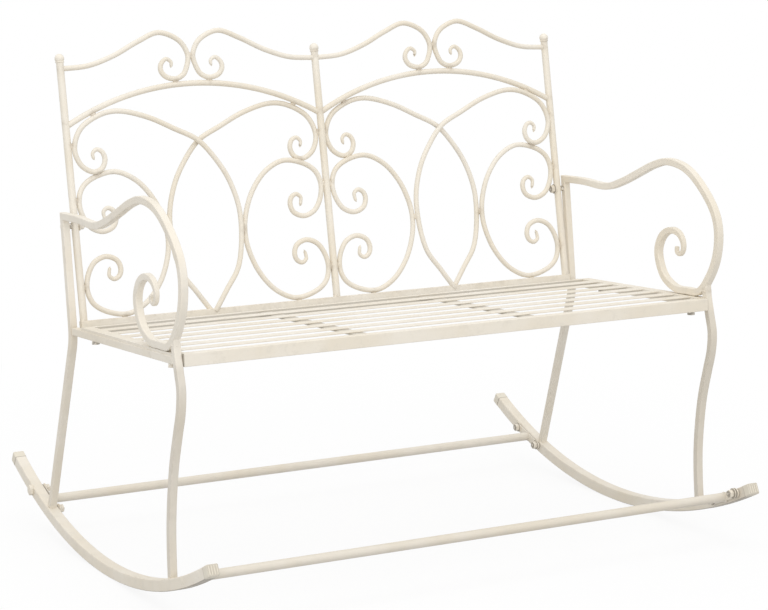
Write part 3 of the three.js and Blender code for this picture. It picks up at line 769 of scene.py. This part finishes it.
def cream_paint():
    """Antique cream enamel: soft clouds, tan where it is rubbed, brown near the welds, and painted shade
    from each vertex's shade value.
    """
    material, tree, shader = node_tree("cream_paint")
    clouds = add_noise(tree, scale=7, detail=3, roughness=0.55)
    mottle = add_noise(tree, scale=55, detail=6, roughness=0.65)
    speckle = add_noise(tree, scale=420, detail=3, roughness=0.6)
    base = add_layer(tree, CREAM_LIGHT, CREAM_WARM, clouds, low=0.35, high=0.65)
    base = add_layer(tree, base, CREAM_GREY, mottle, low=0.5, high=0.72, amount=0.45)
    base = add_layer(tree, base, CREAM_TAN, speckle, low=0.6, high=0.78, amount=0.3)
    patches = spread(tree, mottle, low=0.42, high=0.68, out_low=0.1)
    rubbed = arithmetic(tree, "MULTIPLY", attribute(tree, "rub"), patches)
    base = add_layer(tree, base, CREAM_TAN, rubbed, low=0.25, high=1, amount=0.4)
    patches = spread(tree, mottle, low=0.3, high=0.62, out_low=0.35)
    stained = arithmetic(tree, "MULTIPLY", attribute(tree, "stain"), patches)
    base = add_layer(tree, base, RUB_BROWN, stained, low=0.25, high=0.95, amount=0.42)
    # Painted shade: mixes towards grey by each vertex's shade value
    base = mix_colour(tree, attribute(tree, "shade"), base, PAINTED_SHADE_GREY)
    roughness = spread(tree, mottle, low=0.3, high=0.75, out_low=0.42, out_high=0.6)
    grain = arithmetic(tree, "ADD", arithmetic(tree, "MULTIPLY", speckle, 0.35), mottle)
    finish_surface(tree, shader, base, roughness, grain, strength=0.22, distance=0.0006)
    return material


def cap_plastic():
    """Moulded cream plastic, more even than the paint."""
    material, tree, shader = node_tree("cap_plastic")
    clouds = add_noise(tree, scale=30, detail=3, roughness=0.5)
    grain = add_noise(tree, scale=900, detail=2, roughness=0.5)
    base = mix_colour(tree, clouds, CAP_LIGHT, CAP_SHADE)
    # Painted shade: mixes towards grey by each vertex's shade value
    base = mix_colour(tree, attribute(tree, "shade"), base, PAINTED_SHADE_GREY)
    roughness = spread(tree, grain, low=0.3, high=0.7, out_low=0.5, out_high=0.62)
    finish_surface(tree, shader, base, roughness, grain, strength=0.15, distance=0.0002)
    return material


def zinc():
    """Dull zinc plating with grey clouds, cream overspray and brown in the corners."""
    material, tree, shader = node_tree("zinc")
    clouds = add_noise(tree, scale=160, detail=4, roughness=0.6)
    grain = add_noise(tree, scale=1400, detail=2, roughness=0.5)
    base = add_layer(tree, ZINC_LIGHT, ZINC_DARK, clouds, low=0.35, high=0.7)
    mist = add_noise(tree, scale=230, detail=3, roughness=0.5)
    overspray = spread(tree, mist, low=0.38, high=0.56, out_low=0.85, out_high=0.25)
    base = mix_colour(tree, overspray, base, CREAM_LIGHT)
    stained = arithmetic(tree, "MULTIPLY", attribute(tree, "stain"), clouds)
    base = add_layer(tree, base, RUB_BROWN, stained, low=0.3, high=0.8, amount=0.35)
    roughness = spread(tree, clouds, low=0.3, high=0.7, out_low=0.32, out_high=0.5)
    feed(tree, shader, {"Metallic": 0.25})
    finish_surface(tree, shader, base, roughness, grain, strength=0.12, distance=0.0002)
    return material


MATERIALS = {"paint": cream_paint(), "cap": cap_plastic(), "bolt": zinc()}


# Back panel
def note_bar(points, radius):
    bars.append((np.array([tuple(point) for point in points]), radius))


def build_finial(place, centre):
    mesh = bmesh.new()
    bmesh.ops.create_uvsphere(mesh, u_segments=POST_SIDES, v_segments=BALL_RINGS,
                              radius=FINIAL_RADIUS * METRE)
    turn = Matrix.Translation(centre * METRE) @ Matrix.Rotation(-LEAN, 4, "X")
    bmesh.ops.transform(mesh, matrix=turn, verts=mesh.verts[:])
    finish_piece(f"ball_{place}", mesh, f"finial_{place}", sharp=BALL_SHARP_ANGLE)
    welds.append((centre - PANEL_UP * FINIAL_RADIUS * FINIAL_RING_DROP, PANEL_UP, POST_RADIUS))


def build_posts():
    for place, side in (("left", -1), ("centre", 0), ("right", 1)):
        rises = [RAIL_TOP_DROP * step / POST_STEPS for step in range(POST_STEPS + 1)]
        points = [in_panel(side * BAY, 0, rise - RAIL_TOP_DROP) for rise in rises]
        round_bar(f"post_{place}", f"back_post_{place}", points, ACROSS, POST_RADIUS, 0, POST_SIDES)
        note_bar(points, POST_RADIUS)
        build_finial(place, in_panel(side * BAY, 0, 0))


def build_arches():
    swing = math.asin(BAY / 2 / ARCH_RADIUS)
    for place, side in SIDES.items():
        points = []
        for step in range(ARCH_STEPS + 1):
            angle = swing * (2 * step / ARCH_STEPS - 1)
            x = side * BAY / 2 + ARCH_RADIUS * math.sin(angle)
            points.append(in_panel(x, 0, ARCH_CENTRE + ARCH_RADIUS * math.cos(angle)))
        round_bar(f"arch_bar_{place}", f"arch_{place}", points, PANEL_NORMAL, ARCH_BAR_RADIUS, BAR_SHADE)
        note_bar(points, ARCH_BAR_RADIUS)


def build_scroll(kind, place, outline, post_x, facing, offset, at_start, at_end):
    points = [in_panel(post_x + facing * point.x, offset, point.y) for point in outline]
    soft, scales = curled(points, BAR_RADIUS, SCROLL_TIP_EDGE, at_start, at_end)
    round_bar(f"{kind}_bar_{place}", f"{kind}_scroll_{place}", soft, PANEL_NORMAL, BAR_RADIUS,
              BAR_SHADE, scales=scales)
    note_bar(points, BAR_RADIUS)


def build_scrolls():
    places = (("left_outer", -BAY, 1, -1), ("left_inner", 0, -1, 1),
              ("right_inner", 0, 1, 1), ("right_outer", BAY, -1, -1))
    for place, post_x, facing, front in places:
        build_scroll("crest", place, crest_outline(), post_x, facing, 0, False, True)
        build_scroll("lens", place, lens_outline(), post_x, facing, front * LENS_OFFSET, True, False)
        build_scroll("c", place, c_scroll_outline(), post_x, facing, 0, True, True)


def build_bottom_rail():
    rounded_copy("bottom_rail", "back_bottom_rail", RAIL_EDGE)
    middle = -RAIL_TOP_DROP - BOTTOM_RAIL_SIZE / 2
    points = [in_panel(x, 0, middle) for x in range(-BAY, BAY + 1, BOTTOM_RAIL_STEP)]
    note_bar(points, BOTTOM_RAIL_SIZE / 2)


# Seat
def front_rail_shade(place):
    """Painted shade: dark ends, like the shadow in the slits where the front rail meets the side frames.
    """
    reach = SIDE_CENTRE - TUBE_SIZE / 2 - PIECE_GAP - RAIL_EDGE
    return RAIL_END_SHADE * float(abs(place.x) > reach + STRIP_EDGE)


def rear_rail_shade(place):
    """Painted shade: a dark front face, in shadow under the slats, which only shows through the last gap.
    """
    front_face = in_seat(0, SEAT_LENGTH - REAR_RAIL_DEPTH, 0)
    return RAIL_SHADE * float((place - front_face).dot(SEAT_ALONG) < STRIP_EDGE / 4)


def build_seat():
    for index in range(SLAT_COUNT):
        rounded_copy(f"slat_{index + 1}", f"seat_slat_{index + 1}", STRIP_EDGE)
    set_shade(rounded_copy("rail_front", "seat_rail_front", RAIL_EDGE), front_rail_shade)
    set_shade(rounded_copy("rail_rear", "seat_rail_rear", STRIP_EDGE), rear_rail_shade)
    for place in SIDES:
        support = rounded_copy(f"support_{place}", f"seat_support_{place}", STRIP_EDGE)
        # Painted shade on the supports, which lie in shadow under the slats
        set_shade(support, lambda point: SUPPORT_SHADE)
        rounded_copy(f"end_rail_{place}", f"seat_rail_end_{place}", STRIP_EDGE, sink=PIECE_GAP)
        rounded_copy(f"side_tube_{place}", f"side_rail_{place}", RAIL_EDGE)


# Side frames
def arm_path(side):
    """The arm from its corner at the rear leg to the tip of its curl."""
    return [on_side(side, point.x, point.y) for point in smooth_outline(arm_corners())[CURVE_STEPS:]]


def mitre(arm, leg):
    """The plane in which the arm and the rear leg meet."""
    corner = arm[0]
    along_arm = (arm[1] - corner).normalized()
    along_leg = (leg[0] - corner).normalized()
    return corner, (along_arm - along_leg).normalized()


def leg_shade(place):
    """Painted shade: legs are darker below the seat."""
    share = (SEAT_FRONT_HEIGHT - TUBE_SIZE - place.z) / TUBE_SIZE
    return (FRONT_LEG_SHADE if place.y < 0 else REAR_LEG_SHADE) * clamped(share)


def build_arm(place, points, plane):
    soft, scales = curled(points, TUBE_SIZE / 2, ARM_TIP_EDGE, False, True,
                          ARM_CURL_TAPER, ARM_CURL_TIP_SHARE)
    square_tube(f"arm_tube_{place}", f"arm_{place}", soft, scales, plane)
    note_bar(points, TUBE_SIZE / 2)


def build_rear_leg(place, corner, corners, plane):
    lower = rounded_path(corners)
    steps = REAR_LEG_TOP_STEPS
    points = [corner.lerp(lower[0], step / steps) for step in range(steps)] + lower
    leg = square_tube(f"rear_leg_tube_{place}", f"rear_leg_{place}", points, start_plane=plane)
    set_shade(leg, leg_shade)
    return points


def build_front_leg(place, side):
    points = [on_side(side, point.x, point.y) for point in smooth_outline(front_leg_corners())]
    scales = [FRONT_LEG_TOP_SCALE if (point - points[0]).length < TUBE_SIZE else 1 for point in points]
    set_shade(square_tube(f"front_leg_tube_{place}", f"front_leg_{place}", points, scales), leg_shade)
    return points


def build_side(place, side):
    arm = arm_path(side)
    corners = [on_side(side, y, z) for y, z in rear_leg_corners()]
    plane = mitre(arm, corners)
    build_arm(place, arm, plane)
    rear = build_rear_leg(place, arm[0], corners, plane)
    front = build_front_leg(place, side)
    for points in (front, rear):
        foot = points[-1]
        upward = (points[-2] - foot).normalized()
        welds.append((foot + upward * (ROCKER_SIZE / 2 + FOOT_RING_LIFT), upward, TUBE_SIZE / 2))
    welds.append((front[0] - UP * TUBE_SIZE, UP, TUBE_SIZE / 2))


def rocker_shade(side, front_tip):
    """Painted shade: dark underneath, a little on the sides, and darker on the inner side towards the
    front tip.
    """
    centre = on_rocker(side, 0, 0)
    bottom = ROCKER_RADIUS - ROCKER_CORNER / 2

    def shade_at(place):
        if math.hypot(place.y - centre.y, place.z - centre.z) > bottom:
            return ROCKER_BOTTOM_SHADE
        inner = abs(place.x) < ROCKER_CENTRE
        share = clamped(1 - (place.y - front_tip.y) / ROCKER_TIP_REACH)
        return ROCKER_SIDE_SHADE + ROCKER_TIP_SHADE * share * float(inner)

    return shade_at


def build_rocker(place, side):
    front, rear = rocker_ends()
    cap = (CAP_LENGTH + PIECE_GAP) / ROCKER_MIDDLE
    points = rocker_path(side, front + cap, rear - cap, ROCKER_STEPS)
    tube = square_tube(f"rocker_tube_{place}", f"rocker_{place}", points,
                       size=ROCKER_SIZE, corner=ROCKER_CORNER)
    set_shade(tube, rocker_shade(side, points[0]))
    for end, tip in (("front", front), ("rear", rear)):
        build_cap(f"cap_{end}_{place}", f"rocker_cap_{end}_{place}", side, tip)


def cap_scale(share):
    """A cap's thickness along its length: even, then rounded off."""
    end = clamped((share - CAP_ROUND_START) / (1 - CAP_ROUND_START))
    return 1 - CAP_ROUND_DEPTH * (1 - math.sqrt(1 - end * end))


def add_cap_ribs(mesh, tip, outward):
    upward = ACROSS.cross(outward).normalized()
    half = ROCKER_SIZE / 2 - CAP_RIB_WIDTH
    radius = CAP_RIB_WIDTH / 2
    for rib in range(CAP_RIBS):
        at = tip + ACROSS * (half - radius) * (2 * rib / (CAP_RIBS - 1) - 1)
        points, scales = softened([at - upward * half, at + upward * half], radius, radius)
        add_tube(mesh, points, ACROSS, round_section(radius, RIB_SIDES), scales)


def cap_shade(seam, tip, outward):
    """Painted shade: dark in the seam, darker on the end face between the ribs, and a little on the
    sides.
    """
    face = (tip - seam).dot(outward)

    def shade_at(place):
        along = (place - seam).dot(outward)
        if along < CAP_LIP:
            return CAP_SEAM_SHADE
        on_face = face - CAP_LIP < along < face + CAP_LIP / 4
        return CAP_FACE_SHADE if on_face else CAP_SIDE_SHADE

    return shade_at


def build_cap(name, node, side, tip):
    """A square plug with painted shade in its seam and a ribbed, rounded end."""
    seam = tip - math.copysign(CAP_LENGTH / ROCKER_MIDDLE, tip)
    points = rocker_path(side, seam, tip, CAP_STEPS)
    scales = [cap_scale(step / CAP_STEPS) for step in range(CAP_STEPS + 1)]
    section = box_section(ROCKER_SIZE + CAP_LIP, ROCKER_SIZE, ROCKER_CORNER)
    outward = (points[-1] - points[-2]).normalized()
    mesh = bmesh.new()
    add_tube(mesh, points, ACROSS, section, scales)
    add_cap_ribs(mesh, points[-1], outward)
    piece = finish_piece(name, mesh, node, slot="cap", weighted=True)
    set_shade(piece, cap_shade(points[0], points[-1], outward))


# Stretchers and fasteners
def flange_shade(place):
    """Painted shade: the edge next to the rocker is dark, like the shadow in the slit."""
    return float(abs(place.x) > FLANGE_OUTER_FACE - STRIP_EDGE * 2)


def build_flange(name, inner, side, along):
    outer = inner + ACROSS * side * FLANGE_THICKNESS
    points, scales = softened([inner, outer], FLANGE_WIDTH / 2, FLANGE_EDGE)
    mesh = bmesh.new()
    add_tube(mesh, points, along, stadium_section(FLANGE_LENGTH, FLANGE_WIDTH), scales)
    set_shade(finish_piece(name, mesh), flange_shade)
    welds.append((inner, ACROSS, STRETCHER_RADIUS))


def build_stretcher(place, angle):
    middle = on_rocker(0, angle, STRETCHER_LINE)
    shares = [2 * step / STRETCHER_STEPS - 1 for step in range(STRETCHER_STEPS + 1)]
    points = [middle + ACROSS * FLANGE_INNER_FACE * share for share in shares]
    along = Vector((0, math.cos(angle), math.sin(angle)))
    # Painted shade, even along the stretcher
    round_bar(f"stretcher_tube_{place}", f"stretcher_{place}", points, along, STRETCHER_RADIUS,
              STRETCHER_SHADE[place], POST_SIDES)
    for where, side in SIDES.items():
        inner = middle + ACROSS * side * FLANGE_INNER_FACE
        build_flange(f"flange_{place}_{where}", inner, side, along)


def across_bolt(direction):
    """Upwards for a level bolt, and sideways for an upright one."""
    return ACROSS if abs(direction.z) > abs(direction.x) else UP


def add_turned(mesh, start, direction, parts):
    """Adds a run of coaxial parts, each its kind, radius, length and edge."""
    place = start.copy()
    for kind, radius, length, edge in parts:
        around = (HEX_SIDES, NUT_RUB) if kind == "hex" else (WASHER_SIDES, BAR_RUB)
        end = place + direction * length
        if kind == "thread":
            steps = int(length / THREAD_STEP)
            points = [place.lerp(end, step / steps) for step in range(steps + 1)]
            scales = [1 if step % 2 else THREAD_ROOT_SCALE for step in range(steps + 1)]
        else:
            points, scales = softened([place, end], radius, edge)
        add_tube(mesh, points, across_bolt(direction), round_section(radius, *around), scales)
        place = end


def add_dome(mesh, base, direction, radius, height):
    """A low round head that rises from a flat face."""
    angles = [math.pi / 2 * step / HEAD_STEPS for step in range(HEAD_STEPS + 1)]
    points = [base + direction * height * math.sin(angle) for angle in angles]
    scales = [max(math.cos(angle), HEAD_TIP_SCALE) for angle in angles]
    add_tube(mesh, points, across_bolt(direction), round_section(radius, HEAD_SIDES), scales)


def stack_shade(nut_face, direction, stack):
    """Painted shade: dark necks and end faces in a stack of washers and nut."""
    faces = np.cumsum([length for kind, radius, length, edge in stack])

    def shade_at(place):
        along = (place - nut_face).dot(direction)
        away = (place - nut_face - direction * along).length
        on_face = np.abs(faces - along).min() < NECK_EDGE / 2
        return NUT_SHADE * float(along >= 0 and (away < NECK_RADIUS + NECK_EDGE or on_face))

    return shade_at


def build_bolt(name, node, head_face, nut_face, stack, collar_place=None, raised=False):
    """A zinc bolt, and a painted piece with its head and the stack of washers and nut."""
    direction = (nut_face - head_face).normalized()
    mesh = bmesh.new()
    if raised:
        add_turned(mesh, head_face, -direction, [RAISED_HEAD])
    else:
        add_dome(mesh, head_face, -direction, HEAD_RADIUS, HEAD_HEIGHT)
    add_turned(mesh, nut_face, direction, stack)
    set_shade(finish_piece(f"{name}_head", mesh), stack_shade(nut_face, direction, stack))
    mesh = bmesh.new()
    shank = (nut_face - head_face).length + sum(length for kind, radius, length, edge in stack)
    add_turned(mesh, head_face, direction, [
        ("shank", BOLT_RADIUS, shank, SHANK_EDGE),
        ("thread", BOLT_RADIUS, THREAD_LENGTH, 0)])
    if collar_place:
        add_turned(mesh, collar_place, direction, [COLLAR])
    finish_piece(name, mesh, node, slot="bolt")


def build_stretcher_bolts():
    swing = BOLT_SPREAD / STRETCHER_LINE
    for place, angle in stretcher_angles().items():
        high = -1 if place == "front" else 1
        for height, sign in (("low", -high), ("high", high)):
            for where, side in SIDES.items():
                at = on_rocker(side, angle + sign * swing, STRETCHER_LINE)
                head = at + ACROSS * side * ROCKER_SIZE / 2
                nut = at - ACROSS * side * (ROCKER_SIZE / 2 + PIECE_GAP + FLANGE_THICKNESS)
                name = f"{place}_{height}_{where}"
                stack = LONG_NUT_STACK if (place, height, where) in LONG_BOLTS else NUT_STACK
                raised = (place, height, where) in RAISED_HEADS
                build_bolt(f"bolt_{name}", f"stretcher_bolt_{name}", head, nut, stack, raised=raised)


def build_back_bolts():
    middle = Vector((0, post_depth_at(BACK_BOLT_HEIGHT), BACK_BOLT_HEIGHT))
    for place, side in SIDES.items():
        head = middle + ACROSS * side * (SIDE_CENTRE + TUBE_SIZE / 2)
        nut = middle + ACROSS * side * (BAY - POST_RADIUS)
        collar = middle + ACROSS * side * (SIDE_CENTRE - TUBE_SIZE / 2)
        build_bolt(f"post_bolt_{place}", f"back_bolt_{place}", head, nut, NUT_STACK, collar)


def build_seat_bolts():
    for (end, place), (along, height, painted) in SEAT_BOLTS.items():
        side = SIDES[place]
        under = in_seat(side * SIDE_CENTRE, along, -END_RAIL_HEIGHT - PIECE_GAP - TUBE_SIZE)
        mesh = bmesh.new()
        add_turned(mesh, under, -SEAT_NORMAL, [SEAT_WASHER, ("hex", NUT_RADIUS, height, SEAT_NUT_EDGE)])
        finish_piece(f"seat_bolt_{end}_{place}", mesh, slot="paint" if painted else "bolt")


# Welds
def boxes_meet(first, second, reach):
    low_gap = first.min(0) - second.max(0)
    high_gap = second.min(0) - first.max(0)
    return (low_gap <= reach).all() and (high_gap <= reach).all()


def find_contacts(first, radius, second, other):
    """Notes a bead wherever two bars touch, closest places first."""
    reach = radius + other + CONTACT_GAP
    if not boxes_meet(first, second, reach):
        return
    gaps = np.linalg.norm(first[:, None, :] - second[None, :, :], axis=2)
    taken = []
    for flat in np.argsort(gaps, axis=None)[:CONTACT_TRIES]:
        here, there = np.unravel_index(flat, gaps.shape)
        if gaps[here, there] > reach + CONTACT_SLACK:
            break
        place = Vector(first[here] + (second[there] - first[here]) * (radius / (radius + other)))
        if all((place - other_place).length > CONTACT_SPACING for other_place in taken):
            taken.append(place)
            before, after = first[max(here - 1, 0)], first[min(here + 1, len(first) - 1)]
            welds.append((place, Vector(after - before).normalized(), None))


def add_bead(mesh, place, along, seed):
    """A small lumpy bead of weld, longer along the bar."""
    made = bmesh.ops.create_icosphere(mesh, subdivisions=BEAD_SUBDIVISIONS, radius=1)
    turn = along.to_track_quat("Z", "Y").to_matrix()
    for vertex in made["verts"]:
        sample = vertex.co * BEAD_LUMP_SCALE + ACROSS * seed * BEAD_SEED_STEP
        lump = 1 + BEAD_LUMP * noise.noise(sample)
        local = vertex.co * Vector(BEAD_SHAPE) * BEAD_RADIUS * lump
        vertex.co = (place + turn @ local) * METRE


def add_ring(mesh, place, along, radius, seed):
    """A rippled bead of weld round the end of a bar."""
    turn = along.to_track_quat("Z", "Y").to_matrix()
    rings = []
    for step in range(RING_SIDES):
        angle = 2 * math.pi * step / RING_SIDES
        across, up = math.cos(angle), math.sin(angle)
        sample = Vector((across * RING_LUMP_SCALE + seed, up * RING_LUMP_SCALE, seed * RING_SEED_STEP))
        thick = RING_RADIUS + RING_LUMP * noise.noise(sample)
        ring = []
        for small_step in range(RING_THICKNESS_SIDES):
            turn_angle = 2 * math.pi * small_step / RING_THICKNESS_SIDES
            reach = radius + RING_LIFT + thick * math.cos(turn_angle)
            local = Vector((reach * across, reach * up, thick * math.sin(turn_angle)))
            ring.append(mesh.verts.new((place + turn @ local) * METRE))
        rings.append(ring)
    for low, high in zip(rings, rings[1:] + rings[:1]):
        join_rings(mesh, low, high)


def build_welds():
    for index, (first, radius) in enumerate(bars):
        for second, other in bars[index + 1:]:
            find_contacts(first, radius, second, other)
    mesh = bmesh.new()
    mesh.verts.layers.float.new("rub")
    for seed, (place, along, radius) in enumerate(welds):
        if radius:
            add_ring(mesh, place, along, radius, seed)
        else:
            add_bead(mesh, place, along, seed)
    finish_piece("weld_beads", mesh, sharp=WELD_SHARP_ANGLE)


def stain_pieces():
    """Writes how near each vertex lies to a weld, for the brown rubbed into the corners."""
    centres = np.array([tuple(place * METRE) for place, along, radius in welds])
    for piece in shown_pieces():
        if piece.type != "MESH" or "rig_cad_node" in piece:
            continue
        places = np.array([tuple(vertex.co) for vertex in piece.data.vertices])
        nearest = np.full(len(places), np.inf)
        for centre in centres:
            nearest = np.minimum(nearest, np.linalg.norm(places - centre, axis=1))
        values = np.exp(-(nearest / (STAIN_REACH * METRE)) ** 2)
        made = piece.data.attributes.new("stain", "FLOAT", "POINT")
        made.data.foreach_set("value", values.astype(np.float32))


# Stage
def seen_plainly(tree, path):
    """1 for rays from the camera, reflections and clear things, which see plain white."""
    seen = arithmetic(tree, "MAXIMUM", path.outputs["Is Camera Ray"], path.outputs["Is Glossy Ray"])
    return arithmetic(tree, "MAXIMUM", seen, path.outputs["Is Transmission Ray"])


def floor_material():
    """A white floor with a soft shadow near the bench, fading to plain white further out."""
    material, tree, shader = node_tree("floor_white")
    path = tree.nodes.new("ShaderNodeLightPath")
    colour = mix_colour(tree, path.outputs["Is Camera Ray"], FLOOR_BOUNCE, FLOOR_WHITE)
    feed(tree, shader, {"Base Color": colour, "Roughness": 1, "Specular IOR Level": 0})
    glow = tree.nodes.new("ShaderNodeEmission")
    feed(tree, glow, {"Strength": 1})
    length = tree.nodes.new("ShaderNodeVectorMath")
    length.operation = "LENGTH"
    feed(tree, length, {0: object_place(tree)})
    far = spread(tree, length.outputs["Value"], FLOOR_FADE_START, FLOOR_FADE_END, FLOOR_GLOW, 1)
    glowing = arithmetic(tree, "MULTIPLY", far, seen_plainly(tree, path))
    mix = tree.nodes.new("ShaderNodeMixShader")
    feed(tree, mix, {"Fac": glowing, 1: shader.outputs["BSDF"], 2: glow.outputs["Emission"]})
    feed(tree, tree.nodes["Material Output"], {"Surface": mix.outputs["Shader"]})
    return material


def build_floor():
    mesh = bmesh.new()
    bmesh.ops.create_circle(mesh, cap_ends=True, radius=FLOOR_REACH, segments=FLOOR_SIDES)
    data = mesh_data("floor", mesh)
    data.materials.append(floor_material())
    floor = add_object("floor", data)
    floor.location.z = FLOOR_HEIGHT


def build_world():
    world = bpy.data.worlds.new("studio")
    world.use_nodes = True
    tree = world.node_tree
    seen = seen_plainly(tree, tree.nodes.new("ShaderNodeLightPath"))
    strength = spread(tree, seen, 0, 1, WORLD_STRENGTH, 1)
    feed(tree, tree.nodes["Background"], {"Color": (1, 1, 1, 1), "Strength": strength})
    bpy.context.scene.world = world


def build_lamps():
    for name, (place, size, power) in LAMPS.items():
        lamp = bpy.data.lights.new(name, "AREA")
        lamp.shape = "DISK"
        lamp.size = size
        lamp.energy = power
        holder = add_object(name, lamp)
        holder.location = place
        holder.rotation_euler = (LAMP_TARGET - place).to_track_quat("-Z", "Y").to_euler()


def build_camera():
    data = bpy.data.cameras.new("camera")
    data.sensor_width = CAMERA_SENSOR
    data.lens = CAMERA_LENS
    camera = add_object("camera", data)
    camera.location = CAMERA_PLACE
    camera.rotation_euler = (math.pi / 2 - CAMERA_PITCH, 0, CAMERA_YAW)
    bpy.context.scene.camera = camera


build_camera()
build_posts()
build_arches()
build_scrolls()
build_bottom_rail()
build_seat()
for where, way in SIDES.items():
    build_side(where, way)
    build_rocker(where, way)
for where, turn in stretcher_angles().items():
    build_stretcher(where, turn)
build_stretcher_bolts()
build_back_bolts()
build_seat_bolts()
build_welds()
stain_pieces()
build_floor()
build_world()
build_lamps()
bpy.context.scene.view_settings.view_transform = "Standard"
